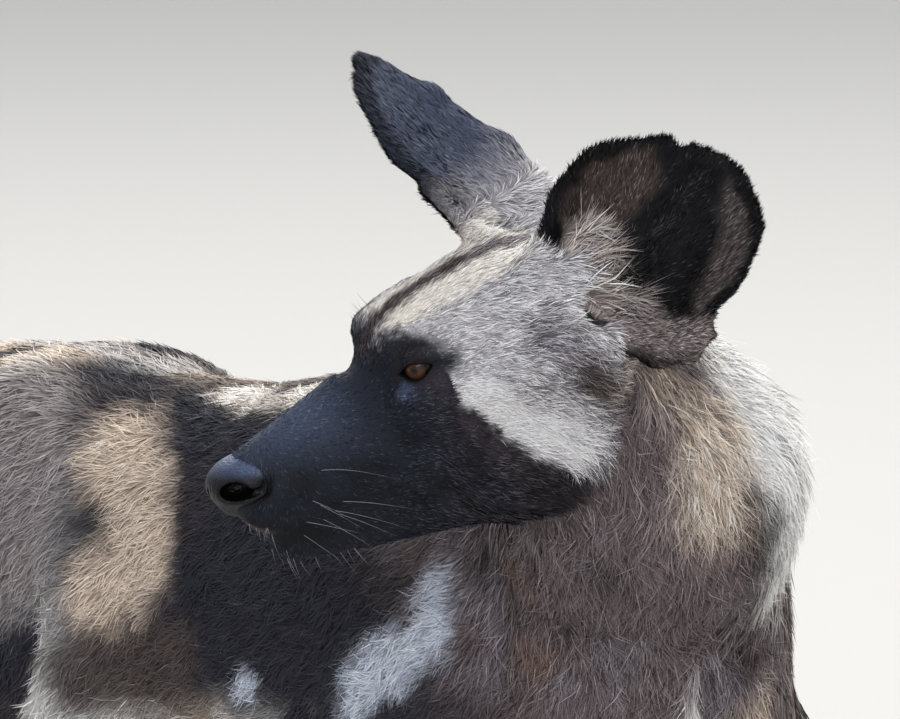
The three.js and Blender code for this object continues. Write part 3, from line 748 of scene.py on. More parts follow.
def hair_material(name, roughness, sheen):
    """Guard hair: matt from far off, each hair banded along its length, with a faint bloom at the edges"""
    material, tree, shader = new_material(name, Roughness=roughness, Specular_IOR_Level=0.12,
                                          Sheen_Weight=sheen, Sheen_Roughness=0.5)
    grain = pattern(tree, "ShaderNodeTexNoise", GUARD_HAIR_BANDS, Detail=2.0)
    shade_paint(tree, shader, "hair_colour", (grain, "Fac"), 0.82, 1.18)
    return material


def nose_material():
    """Nose leather: pebbled, damp and blue-black, with a greyer painted sheen on its top where the light
    lies
    """
    material, tree, shader = new_material("nose_leather", Roughness=0.4, Specular_IOR_Level=0.22)
    pebbles = pattern(tree, "ShaderNodeTexVoronoi", NOSE_PEBBLES)
    shade_paint(tree, shader, "nose_colour", (pebbles, "Distance"), 1.15, 0.6)
    emboss(tree, shader, (pebbles, "Distance"), 0.8, invert=True)
    return material


def horn_material(name, roughness, ior, spacing, stops):
    """Smooth horn whose colour goes from one stop to the next in bands this far apart"""
    material, tree, shader = new_material(name, Roughness=roughness, IOR=ior)
    grain = pattern(tree, "ShaderNodeTexNoise", spacing)
    bands = add_node(tree, "ShaderNodeValToRGB", {"Fac": (grain, "Fac")})
    set_stops(bands, stops)
    tree.links.new(bands.outputs["Color"], shader.inputs["Base Color"])
    return material


def eye_material():
    """Wet eye: dark pupil, brown iris, dark rim and dark white, under a clear gloss that takes the lights"""
    material, tree, shader = new_material("wet_eye", Roughness=0.3, Specular_IOR_Level=0.1, Coat_Weight=0.5,
                                          Coat_Roughness=0.03, Coat_IOR=1.38)
    wheel = add_node(tree, "ShaderNodeAttribute", attribute_name="eye_wheel")
    split = add_node(tree, "ShaderNodeSeparateXYZ", {"Vector": (wheel, "Vector")})
    streaks = add_node(tree, "ShaderNodeTexNoise", {
        "Vector": (wheel, "Vector"), "Scale": 9.0, "Detail": 4.0})
    ring = add_node(tree, "ShaderNodeMath", {0: (streaks, "Fac"), 1: 0.10}, operation="MULTIPLY")
    place = add_node(tree, "ShaderNodeMath", {0: (split, "Z"), 1: (ring, "Value")}, operation="ADD")
    bands = add_node(tree, "ShaderNodeValToRGB", {"Fac": (place, "Value")})
    set_stops(bands, ((0.0, "pupil"), (0.15, "pupil_edge"), (0.20, "iris_inside"), (0.34, "iris"),
                      (0.54, "iris_outside"), (0.60, "iris_rim"), (0.74, "eye_corner"), (1.0, "eye_back")))
    tree.links.new(bands.outputs["Color"], shader.inputs["Base Color"])
    return material


# Marks drawn in the head's frame, the same on both sides: hue, radius, softness and the stroke
HEAD_MARKS = (
    ("cream", 11, 0.5, ((-2, 13, 27), (-26, 15, 33), (-48, 17, 38), (-72, 18, 42))),
    ("pale", 10, 0.5, ((-22, 60, -12), (-40, 66, -32), (-60, 66, -48), (-78, 67, -60))),
    ("ash", 11, 0.9, ((-62, 58, 6), (-76, 62, -8))),
    ("umber", 10, 0.8, ((-74, 66, -14), (-82, 66, -26), (-84, 66, -38))),
    ("umber", 14, 0.8, ((-98, 70, -40), (-92, 68, -66))),
)
STRIPE = ((16, 0, 16), (5, 0, 23), (-12, 0, 31), (-33, 0, 37), (-54, 0, 42), (-75, 0, 43), (-95, 0, 42))
# Where the dark mask ends, as height over distance along the head
MASK_X = (-100, -80, -60, -42, -30, -19, -12, -10.5, 2, 12, 15)
MASK_Z = (-79, -71, -64, -50, -35, -19.5, -8, 13, 19, 16, 60)

# Marks drawn in the body's frame: hue, radius, softness and the stroke
BODY_MARKS = (
    ("tan", 24, 0.6, ((-92, -313, 700), (-68, -315, 690), (-45, -309, 673), (-58, -313, 640))),
    # The ruff: white fur, painted whiter and wider as a painted highlight where the light falls on the nape
    ("ruff", 32, 0.45, ((-14, -258, 724), (-8, -296, 690), (6, -308, 645), (22, -287, 598))),
    ("tan", 15, 0.8, ((16, -296, 590), (12, -284, 545), (6, -268, 505))),
    ("dusk", 10, 0.8, ((-36, -317, 640), (-20, -307, 608), (-9, -283, 576))),
    ("white", 8, 0.5, ((-34, -270, 552), (-35, -262, 525))),
    ("rust", 11, 0.8, ((-104, -205, 592), (-97, -198, 575), (-92, -204, 552))),
    ("smoke", 14, 0.5, ((-97, -142, 583), (-100, -138, 559), (-98, -100, 540), (-94, -72, 520))),
    ("smoke", 8, 0.5, ((-85, 20, 521), (-84, 28, 516))),
    ("tan", 25, 0.45, ((-60, 149, 625), (-74, 116, 599), (-81, 108, 570), (-80, 136, 547))),
    ("flank", 30, 0.5, ((-66, 215, 640), (-88, 196, 593), (-88, 200, 560))),
    ("dun", 15, 0.45, ((5, 292, 660), (4, 220, 661), (20, 184, 655))),
    ("cream", 13, 0.45, ((-20, 104, 656), (-34, 62, 658), (-35, 34, 663))),
    ("umber", 22, 0.7, ((-83, 82, 523), (-88, 150, 505))),
)

# Marks inside an ear, over its own plane: hue, radius and the stroke, with its front edge at -X
EAR_MARKS = (
    ("ear_skin", 14, ((-30, 64, 0), (-32, 46, 0), (-26, 28, 0))),
    ("ear_hair", 12, ((-24, 26, 0), (-12, 12, 0), (6, 8, 0), (16, 2, 0))),
    ("ear_rim", 10, ((20, 84, 0), (38, 60, 0), (44, 36, 0), (54, 22, 0))),
    ("ear_lobe", 11, ((20, 6, 0), (42, 8, 0), (52, 14, 0))),
)
EAR_FRINGE = ((-26, 22, 0), (-12, 10, 0), (5, 10, 0))


def stroke(p, places, radius):
    """Distance from a stroke, as a share of its radius"""
    pieces = [rod(p, a, np.array(b) + 1e-3, 0, 0) for a, b in zip(places, places[1:])]
    return np.minimum.reduce(pieces) / radius


def lay(colour, hue, share):
    """The colour with this share of a hue laid over it"""
    return mix(colour, hue_of(hue), np.clip(share, 0, 1)[:, None])


def draw_marks(colour, p, marks):
    """The colour with a list of marks laid over it"""
    for hue, radius, soft, places in marks:
        colour = lay(colour, hue, ramp(stroke(p, places, radius), 1 + soft, 1 - soft))
    return colour


def plain(hue, p):
    """The hue at every place"""
    return np.broadcast_to(hue_of(hue), p.shape).copy()


def body_hue(p, shares):
    """Colour of the neck, trunk, legs and tail: drawn marks over a patchwork and a mottled neck"""
    tail, legs = shares[:, 8], shares[:, 5:8].sum(1)
    body = plain("slate", p)
    wide = wobble(p, 26, 9, 11)
    seen = ramp(p[:, 0], 30, -30) * ramp(p[:, 1], 240, 200) * ramp(p[:, 2], 470, 520)
    patch = noise(wide, 62, 31) + 0.35 * noise(p, 24, 32)
    body = lay(body, "tan", ramp(patch, 0.12, 0.26) * (1 - seen))
    patch = noise(wide + 300, 55, 33) + 0.35 * noise(p, 22, 34)
    body = lay(body, "white", ramp(patch, 0.34, 0.44) * (1 - seen))
    patch = noise(wide - 500, 50, 35)
    body = lay(body, "umber", ramp(patch, 0.15, 0.5) * (0.7 - 0.4 * seen))
    patch = noise(wide, 40, 36) + ramp(p[:, 2], 330, 60) * 0.4
    body = lay(body, "white", legs * ramp(patch, 0.2, 0.36))
    body = lay(body, "ink", legs * ramp(noise(wide, 46, 37), 0.22, 0.4))
    throat = plain("throat", p)
    throat = lay(throat, "ash", ramp(noise(wobble(p, 14, 6, 51), 20, 41), 0.0, 0.6) * 0.6)
    throat = lay(throat, "dusk", ramp(noise(wobble(p, 14, 6, 61), 24, 42), 0.0, 0.9) * 0.5)
    foot, top = NECK[0][0], NECK[-1][0]
    along = unit(np.array(top, F) - foot)
    scruff = ramp((p - foot) @ along + 16 * noise(p, 34, 44), 5, 75)
    body += (throat - body) * scruff[:, None]
    body = draw_marks(body, wobble(wobble(p, 15, 6, 71), 3, 2.2, 73), BODY_MARKS)
    root = ramp(p[:, 2], 500, 560)
    height = p[:, 2] + 14 * noise(p, 20, 43)
    body = lay(body, "tan", tail * root)
    body = lay(body, "ink", tail * (1 - root) * ramp(height, 428, 446))
    return lay(body, "white", tail * ramp(height, 446, 428))


def face_hue(q):
    """Colour of the head, and how far each place is in its dark mask"""
    a = mirrored(q, 1)
    face = plain("grizzle", q)
    edge = wobble(a, 7, 1.8, 81)
    face = lay(face, "ash", 0.45 * ramp(noise(a, 17, 96) + 0.4 * noise(a, 6, 97), 0.0, 0.7))
    face = draw_marks(face, edge, HEAD_MARKS)
    height = np.interp(edge[:, 0], MASK_X, MASK_Z) - edge[:, 2] + 3 * noise(q, 3, 98)
    mask = ramp(height, -4, 5)
    face = lay(face, "mask", mask)
    face = lay(face, "jowl", mask * ramp(q[:, 0], 12, -12) * (1 - 0.6 * ramp(height, 14, 34)))
    face = lay(face, "dusk", mask * ramp(q[:, 0], -20, -55) * 0.7)
    mottle = noise(a, 13, 101) + 0.5 * noise(a, 4, 102)
    face = lay(face, "ink", 0.55 * mask * ramp(mottle, -0.2, 0.8))
    face = lay(face, "ink", 0.7 * mask * ramp(stroke(a, MOUTH_LINE, 9), 1.6, 0.5))
    # Painted sheen: the top of the muzzle is painted lighter and bluer, for the sky's light that lies on it
    face = lay(face, "muzzle_painted_sheen", mask * ramp(q[:, 0], 15, 60) * ramp(q[:, 2], -36, -8) * 0.8)
    face = lay(face, "lip", 0.7 * ramp(stroke(a, MOUTH_LINE[2:], 4.5), 1.3, 0.7))
    face = lay(face, "stripe", ramp(stroke(edge, STRIPE, 7.5), 1.7, 0.3))
    face = lay(face, "brow", ramp(stroke(edge, ((9, 27, 13), (-4, 36, 11), (-14, 43, 5)), 7), 1.9, 0.3))
    face = lay(face, "dusk", ramp(np.linalg.norm(a - EYE_PLACE, axis=1), 17.5, 12.5) * 0.8)
    return lay(face, "tear", ramp(stroke(a, ((7, 36, -7), (4, 38, -9)), 4.5), 1.6, 0.4) * 0.8), mask


def ear_hue(w, inner, side):
    """Colour of an ear: blue-grey behind, black with paler fur inside"""
    w = wobble(w, 9, 2.5, 95) * np.array((side, 1, 1), F)
    u, v = w[:, 0], w[:, 1]
    reach, radius = EAR_FRAMES[side][2:]
    rim = ramp(ear_ring(u, v, 1, reach, radius), -9, -4)
    back = lay(plain("ear_back", w), "ear_black", rim * 0.7)
    back = lay(back, "grizzle", ramp(v, 42, 0) * 0.75)
    cup = plain("ear_black", w)
    flat = w * np.array((1, 1, 0), F)
    for hue, size, places in EAR_MARKS:
        cup = lay(cup, hue, ramp(stroke(flat, places, size), 1.4, 0.5))
    cup = lay(cup, "ear_black", rim * (1 - ramp(ear_lobe(w, 1), 6, 3)))
    return mix(back, cup, inner[:, None])


def markings(p, q, shares, ears):
    """Colour of the coat at each place, and how grizzled it is there"""
    head, neck = shares[:, :3].sum(1), shares[:, 3]
    colour = body_hue(p, shares)
    face, mask = face_hue(q)
    colour = mix(colour, face, ramp(head, 0.35, 0.65)[:, None])
    for side, (share, w, inner) in ears.items():
        colour = mix(colour, ear_hue(w, inner, side), share[:, None])
    speckle = 0.22 + 0.6 * ramp(q[:, 0], 55, 5) * ramp(noise(q, 9, 95), -0.4, 0.4)
    grizzle = ramp(head, 0.3, 0.7) * (1 - mask + mask * speckle) + 0.6 * neck
    grizzle = grizzle * (1 - ramp(colour.mean(1), 0.45, 0.75))
    for share, w, inner in ears.values():
        grizzle = grizzle * (1 - share) + share * (0.10 + 0.6 * inner * ramp(colour.mean(1), 0.02, 0.05))
    return colour, np.clip(grizzle, 0.03, 1)


def ear_shares(q):
    """For each ear: how far a place belongs to it, its place in the ear's frame, and if it is inside"""
    found = {}
    for side, (*_, reach, radius) in EAR_FRAMES.items():
        w = to_ear(q, side)
        u, v, n = w.T
        plate = np.abs(n - ear_cup(u, v))
        share = ramp(plate, 9, 5) * ramp(ear_ring(u, v, side, reach, radius), 6, 0) * ramp(v, 2, 16)
        stalk = ramp(ear_stalk(w, reach), 7, 3) * ramp(v, 2, 16)
        share = np.maximum(share, stalk * (n < ear_cup(u, v)))
        open_side = np.maximum(ramp(ear_canal(w), 2, -1), ramp(ear_lobe(w, side), 5, 2))
        share = np.maximum.reduce([share, open_side, ramp(ear_edge(w, side), 5, 2) * ramp(v, 0, 16)])
        found[side] = (share, w, np.maximum(n > ear_cup(u, v), open_side).astype(F))
    return found


def face_lie(q):
    """Back from the nose, and down behind the cheeks"""
    face = unit(mirrored(q, 1) - np.array((72, 0, -24), F))
    back = ramp(q[:, 0], 10, -60)[:, None]
    face = unit(face + back * np.array((-0.6, 0.1, -0.5), F))
    face[:, 1] *= np.where(q[:, 1] < 0, -1, 1)
    return face @ HEAD_AXES


def neck_lie(p):
    """Down the bent neck"""
    spine = [from_head(NAPE), *(np.array(place, F) for place, radius in reversed(NECK))]
    along = np.zeros_like(p)
    for start, end in zip(spine, spine[1:]):
        along += unit(end - start) * np.exp(-np.abs(rod(p, start, end, 70, 78)) / 20)[:, None]
    return unit(unit(along) + np.array((0, 0, -0.35), F))


def trunk_lie(p):
    """Back along the trunk and down its sides and the chest"""
    sides = ramp(np.abs(p[:, 0]), 20, 80)[:, None]
    chest = ramp(p[:, 1], -150, -230)[:, None]
    return unit(np.array((0, 1, -0.12), F) + sides * np.array((0, 0, -0.5), F)
                + chest * np.array((0, -0.9, -1.2), F))


def leg_lie(p, back, upper_back):
    """Down a leg, sloping back, and forwards over the foot"""
    upper = ramp(p[:, 2], 330, 440)[:, None]
    foot = ramp(p[:, 2], 75, 35)[:, None]
    down = unit(np.array((0, back, -1), F) + upper * np.array((0, upper_back, 0), F))
    return unit(down + foot * np.array((0, -1.4, 0.3), F))


def tail_lie(p):
    """Down the tail"""
    brush = np.zeros_like(p)
    for (start, r0), (end, r1) in zip(TAIL, TAIL[1:]):
        near = np.exp(-np.abs(rod(p, start, end, r0, r1)) / 12)[:, None]
        brush += unit(np.array(end) - np.array(start)) * near
    return unit(brush)


def in_fringe(w, share, inner, side, radius, start, end):
    """How far each place of an ear belongs to the long hair at the front of its cup"""
    return share * inner * ramp(stroke(w * np.array((side, 1, 0), F), EAR_FRINGE, radius), start, end)


def ear_lie(w, share, inner, side):
    """Fanned out over an ear from its root, and across the cup in the fringe at its front"""
    fan = np.stack([w[:, 0], np.maximum(w[:, 1], 2) + 8, np.zeros(len(w), F)], 1)
    inward = in_fringe(w, share, inner, side, 9, 1.5, 0.7)[:, None]
    fan = mix(unit(fan), np.array((0.8 * side, 0.6, 0.1), F), inward)
    return unit(fan) @ EAR_FRAMES[side][1] @ HEAD_AXES


def lie_of(p, q, forms, ears):
    """The direction in which the coat lies, from nose to tail and down the legs"""
    near = np.exp(-np.maximum(np.stack(forms, 1) + 6, 0) / 12)
    head, neck, trunk, fore, hind, tail = (near / near.sum(1, keepdims=True)).T[:, :, None]
    lie = (head * face_lie(q) + neck * neck_lie(p) + trunk * trunk_lie(p) + fore * leg_lie(p, 0.12, 0.5)
           + hind * leg_lie(p, 0.1, 0.4) + tail * tail_lie(p))
    for side, (share, w, inner) in ears.items():
        lie = mix(lie, ear_lie(w, share, inner, side), share[:, None])
    return unit(lie)


def level(lie, normals):
    """Directions laid along the skin"""
    return unit(lie - (lie * normals).sum(1, keepdims=True) * normals)


class Survey:
    """What the coat takes from a set of places on the skin"""

    def __init__(self, points, normals):
        self.points, self.normals = points, normals
        self.q = to_head(points)
        self.forms = forms_of(points, self.q)
        self.shares = territory(self.q, points, self.forms)
        self.ears = ear_shares(self.q)
        self.ear = np.maximum(self.ears[1][0], self.ears[-1][0])
        self.lie = level(lie_of(points, self.q, self.forms, self.ears), normals)


# What the skin's operator leaves for those that grow on it
SKIN = {}


def built_skin(*names):
    """These of the skin's arrays"""
    if not SKIN:
        raise RuntimeError("the skin has to be built first")
    return [SKIN[name] for name in names]


def build_skin(sizes):
    """The points, normals and faces of the skin, finest round the eyes and on the head"""
    fine, eye, foot, coarse = (step / MM for step in (sizes.head_step, sizes.lid_step, sizes.foot_step,
                                                      sizes.body_step))
    lines = [
        grid_line(-252, 132, [(-250, -40, fine), (-190, -138, eye), (28, 96, foot)], coarse),
        grid_line(-350, 445, [(-342, -108, fine), (-248, -168, eye), (-240, -170, foot), (215, 300, foot)],
                  coarse),
        grid_line(-4, 850, [(606, 842, fine), (691, 731, eye), (-4, 55, foot)], coarse),
    ]
    points, faces = net(sample(flesh, lines), lines)
    points, normals = settle(flesh, points.astype(F), faces)
    return points, normals, faces


class WildDogSizes(bpy.types.PropertyGroup):
    """Sizes of the skin's mesh"""
    head_step: FloatProperty(name="Head step", description="Spacing of the skin's mesh on the head",
                             default=0.0021, unit="LENGTH", precision=4)
    nose_step: FloatProperty(name="Nose step", description="Spacing of the nose's mesh",
                             default=0.0009, unit="LENGTH", precision=4)
    lid_step: FloatProperty(name="Lid step", description="Spacing of the skin's mesh round the eyes",
                            default=0.0012, unit="LENGTH", precision=4)
    foot_step: FloatProperty(name="Foot step", description="Spacing of the skin's mesh on the feet",
                             default=0.004, unit="LENGTH", precision=4)
    body_step: FloatProperty(name="Body step", description="Spacing of the skin's mesh on the body",
                             default=0.0066, unit="LENGTH", precision=4)


FLESH_NODES = ["head", "ear_left", "ear_right", "neck", "chest", "loin", "rump", "tail_root", "tail_tip"] + [
    f"{leg}_{part}_{side}" for leg, names in (("fore", ("leg", "pastern", "paw")),
                                              ("hind", ("thigh", "shank", "pastern", "paw")))
    for part in names for side in ("left", "right")]


class WILDDOG_OT_skin(bpy.types.Operator):
    """Builds one skin for the whole animal, with lids, lips and ears"""
    bl_idname = "wilddog.skin"
    bl_label = "Skin"

    def execute(self, context):
        points, normals, faces = build_skin(context.scene.wild_dog_sizes)
        found = Survey(points, normals)
        colour, _ = markings(points, found.q, found.shares, found.ears)
        SKIN.update(points=points, normals=normals, faces=faces, found=found)
        piece = new_piece("skin", points, faces, "dark_coat")
        dark_lips_and_nostril_shade = ramp(stroke(mirrored(found.q, 1), MOUTH_LINE, 3.4), 1.3, 0.7)[:, None]
        # Painted shade: the nostril holes in the skin are painted black as well, for the shade inside them
        dark_lips_and_nostril_shade = np.maximum(dark_lips_and_nostril_shade, ramp(nostrils(found.q), 4, 2)[:, None])
        # The rest of the skin is darkened to the tone of a hair's root: partly its own darker colour, partly
        # painted shade under the coat
        colour = colour * 0.62 * (1 - dark_lips_and_nostril_shade) + dark_lips_and_nostril_shade * hue_of("ink") * 0.5
        paint(piece.data, "coat_colour", colour)
        piece.data.materials.append(skin_material())
        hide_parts(*FLESH_NODES)
        return {"FINISHED"}


class WildDogCoat(bpy.types.PropertyGroup):
    """Length and thickness of the coat"""
    length: FloatProperty(name="Length", description="Length of the hair, as a share of the usual length",
                          default=1, min=0.2)
    density: FloatProperty(name="Density", description="Number of tufts, as a share of the usual number",
                           default=1, min=0.05)
    # A hair is darker at its root, partly for its own dark base and partly as painted shade down among the
    # roots
    darkest: FloatProperty(name="Root shade", description="Brightness of a hair's root against its tip",
                           default=0.62, subtype="FACTOR", min=0, max=1)


def scatter(faces, points, density, rng):
    """Roots spread over the faces: the face of each and the weights of its corners"""
    corner = points[faces]
    area = np.linalg.norm(np.cross(corner[:, 2] - corner[:, 0], corner[:, 3] - corner[:, 1]), axis=1) / 2
    want = np.cumsum(area * density)
    at = np.searchsorted(want, np.arange(rng.random(), want[-1]))
    s, t = rng.random((2, len(at)))
    return at, np.stack([(1 - s) * (1 - t), s * (1 - t), s * t, (1 - s) * t], 1)


def unwrap(points, faces):
    """Lays the faces out flat by their own shape, and gives each corner its place there"""
    used, index = np.unique(faces, return_inverse=True)
    piece = mesh_object("sheet", points[used], index.reshape(faces.shape))
    bpy.context.view_layer.objects.active = piece
    piece.select_set(True)
    piece.data.uv_layers.new(name="flat")
    bpy.ops.object.mode_set(mode="EDIT")
    bpy.ops.mesh.select_all(action="SELECT")
    bpy.ops.uv.smart_project(angle_limit=math.radians(66), island_margin=0.004)
    bpy.ops.object.mode_set(mode="OBJECT")
    flat = np.empty(len(faces) * 8, F)
    piece.data.uv_layers["flat"].data.foreach_get("uv", flat)
    bpy.data.meshes.remove(piece.data)
    return flat.reshape(len(faces), 4, 2)


def comb(p, normals, lie, size, seed):
    """Slope of a smooth noise along the skin, which draws the tips of neighbours together"""
    across = np.cross(normals, lie)
    step = size * 0.25
    slope = noise(p + across * step, size, seed) - noise(p - across * step, size, seed)
    return across * slope[:, None]


def combed(roots, normals, lie, shaggy, rng):
    """The direction of each tuft: drawn to its neighbours, and ruffled where the coat is shaggy"""
    shaggy = shaggy[:, None]
    drawn = comb(roots, normals, lie, 5 + 8 * float(shaggy.mean()), 400) * (0.5 + 0.8 * shaggy)
    ruffled = rng.normal(0, 1, roots.shape) * (0.10 + 0.16 * shaggy)
    waves = np.stack([noise(roots, 22, 410 + k) for k in range(3)], 1)
    return level(unit(lie + drawn + ruffled + 0.7 * shaggy * waves), normals).astype(F)


MOST_TRIANGLES = 199000    # in one piece of coat
COLOUR_AT = 0.55           # how far along a hair its colour is looked up
TIP_SHADE = 1.35           # brightness of a tip against the markings
BRIGHTEST = 0.88
ROOT_DEPTH = 0.4           # how far a root is sunk into the skin (mm)
SAG = 0.5                  # 0.5 brings a hair level with the skin at its tip
MOST_BEND = 0.28           # of a hair's length, to the side
NARROWING = 0.55           # of the width towards the tip
BAKE_PATCH = 0.003         # side of a tuft's patch on the bake's map


def tufts(name, roots, normals, lie, length, width, lift, colour, flat, levels, slot, material, seed):
    """Curved blades that stand on their roots, narrow to a point and lie down towards the tip"""
    rng = np.random.default_rng(seed)
    n = len(roots)
    across = unit(np.cross(normals, lie))
    roll = rng.normal(0, 0.6, n).clip(-1.1, 1.1)[:, None]
    side = np.cos(roll) * across + np.sin(roll) * normals
    rise = np.tan(lift)[:, None]
    bend = (rng.normal(0, 1, n).clip(-2, 2) * np.minimum(0.1 + 0.012 * length, MOST_BEND))[:, None] * across
    steps = np.linspace(0, 1, levels + 1)
    rows, shade, bank = [], [], []
    for t in steps:
        run = lie * t + bend * t * t
        spine = roots + length[:, None] * (run + normals * rise * (t - SAG * t * t)) - normals * ROOT_DEPTH
        if t < 1:
            half = (width * (1 - NARROWING * t * t) / 2)[:, None] * side
            rows += [spine - half, spine + half]
            shade += [t, t]
            bank += [-1, 1]
        else:
            rows.append(spine)
            shade.append(1)
            bank.append(0)
    rows = np.stack(rows, 1)
    rows[..., 2] = np.maximum(rows[..., 2], LIFT_OFF_FLOOR)
    count = rows.shape[1]
    faces = [(2 * k, 2 * k + 3, 2 * k + 1) for k in range(levels - 1)]
    faces += [(2 * k, 2 * k + 2, 2 * k + 3) for k in range(levels - 1)]
    faces.append((2 * levels - 2, 2 * levels, 2 * levels - 1))
    faces = (np.array(faces)[None] + np.arange(n)[:, None, None] * count).reshape(-1, 3)
    piece = new_piece(name, rows.reshape(-1, 3), faces, slot)
    mesh = piece.data
    shade, bank = np.array(shade, F), np.array(bank, F)
    darkest = bpy.context.scene.wild_dog_coat.darkest
    # Each hair goes from dark at its root to bright at its tip: partly its own dark base, partly painted
    # shade down among the hairs
    tone = darkest + (TIP_SHADE - darkest) * shade ** 0.8
    paint(mesh, "hair_colour", np.minimum(colour[:, None] * tone[None, :, None], BRIGHTEST).reshape(-1, 3))
    facing = unit(normals[:, None] + side[:, None] * (bank * 0.55)[None, :, None] - lie[:, None] * 0.15
                  + rng.normal(0, 0.22, (n, 1, 3)))
    mesh.normals_split_custom_set_from_vertices(facing.reshape(-1, 3))
    layer = mesh.uv_layers.new(name="OFBake")
    spot = flat[:, None] + np.stack([bank, 2 * shade - 1], 1)[None] * (BAKE_PATCH / 2)
    layer.data.foreach_set("uv", spot.reshape(-1, 2)[faces.ravel()].astype(F).ravel())
    mesh.materials.append(material)
    return piece


def tint(colour, grizzle, rng):
    """Varies the colour from hair to hair, with pale and dark ones where the coat is grizzled"""
    n = len(colour)
    pick = rng.random(n)
    pale, dark = pick < 0.30 * grizzle, pick > 1 - 0.34 * grizzle
    colour = colour * rng.normal(1, 0.16, n).clip(0.45, 1.7)[:, None].astype(F)
    colour[pale] = np.minimum(colour[pale] * 1.7 + 0.035, 0.8)
    colour[dark] *= 0.35
    return colour


# Hair of the ears, their fringe and the lids, in the units of COAT
EAR_LENGTH, EAR_WIDTH, EAR_DENSITY, EAR_RISE = 5.5, 0.62, 1.6, 17
FRINGE_LENGTH, FRINGE_RISE = 17, 17
LID_LENGTH, LID_WIDTH = 2.6, 0.42
NAPE_LINE = ((-5, -262, 718), (6, -300, 660), (22, -287, 600))
JOWL_LINE = ((-62, 66, -52), (-80, 66, -62))  # in the head's frame


def coat_numbers(found):
    """Length, width, density and rise of the tufts at each place of the skin"""
    length, width, density, rise = (found.shares @ COAT).T[1:]
    q, a = found.q, mirrored(found.q, 1)
    ear = found.ear
    inside = np.maximum(found.ears[1][0] * found.ears[1][2], found.ears[-1][0] * found.ears[-1][2])
    length = mix(length, EAR_LENGTH - inside, ear)
    width = mix(width, EAR_WIDTH, ear)
    density = mix(density, EAR_DENSITY - 0.3 * inside, ear)
    rise = mix(rise, EAR_RISE, ear)
    for side, (share, w, inner) in found.ears.items():
        fringe = in_fringe(w, share, inner, side, 8, 1.3, 0.6)
        length = length + FRINGE_LENGTH * fringe
        rise = rise + FRINGE_RISE * fringe
    lids = ramp(np.linalg.norm(a - EYE_PLACE, axis=1), 26, 15)
    length = mix(length, LID_LENGTH, lids)
    width = mix(width, LID_WIDTH, lids)
    length *= 1 - 0.5 * ramp(stroke(a, MOUTH_LINE, 8), 1.2, 0.6)
    rise = rise + 6 * ramp(stroke(found.points, NAPE_LINE, 30), 1.5, 0.7)
    length *= 1 + 0.5 * ramp(stroke(a, JOWL_LINE, 12), 1.5, 0.6)
    for side, (*_, reach, radius) in EAR_FRAMES.items():
        u, v, n = to_ear(q, side).T
        by_ear = ramp(np.hypot(u, v - reach) - radius, 20, 6) * ramp(np.abs(n - ear_cup(u, v)), 26, 10)
        length *= 1 - 0.45 * by_ear * (1 - found.ear)
    # No hair grows on the rims of the lids, the lips, under the nose pad and under the paws
    bare = (lid_opening(q) < 0.8) | (np.abs(stroke(a, MOUTH_LINE, 1)) < 2.4)
    bare |= (egg(q, NOSE_PLACE, (13, 18.5, 13.5)) < 0.6) | (found.points[:, 2] < 2.5)
    return length, width, density * ~bare, np.radians(rise)


def coat_regions(found):
    """Numbers each place of the skin with its piece of coat, in the order of COAT_PIECES"""
    s = found.shares
    right = found.points[:, 0] < -24 * ramp(found.points[:, 1], -180, -240)
    groups = np.stack([s[:, :2].sum(1), s[:, 2], s[:, 3], s[:, 4], s[:, 5:8].sum(1), s[:, 8]], 1)
    region = np.argmax(groups, 1)
    hind = found.points[:, 1] > 60
    number = np.select([region == 2, region == 3, region == 4, region == 5],
                       [2 + right, 4 + right, 6 + hind, np.full(len(region), 8)], region)
    number[found.ear > 0.5] = 9
    number[(found.ear > 0.5) & (found.q[:, 1] < 0)] = 10
    return number


# Name, slot and number of levels in a tuft
COAT_PIECES = (
    ("coat_face", "face_coat", 2), ("coat_crown", "face_coat", 3),
    ("coat_neck_left", "tan_coat", 2), ("coat_neck_right", "tan_coat", 2),
    ("coat_trunk_left", "dark_coat", 2), ("coat_trunk_right", "dark_coat", 2),
    ("coat_fore_legs", "dark_coat", 2), ("coat_hind_legs", "dark_coat", 2), ("coat_tail", "pale_coat", 3),
    ("coat_ear_left", "dark_coat", 2), ("coat_ear_right", "face_coat", 2),
)


def ears_at(ear, ears):
    """The ears' own places further along the hair, for hair that is rooted on an ear"""
    return {side: (ramp(ear, 0.3, 0.7) * (share > 0.01), w, inner)
            for side, (share, w, inner) in ears.items()}


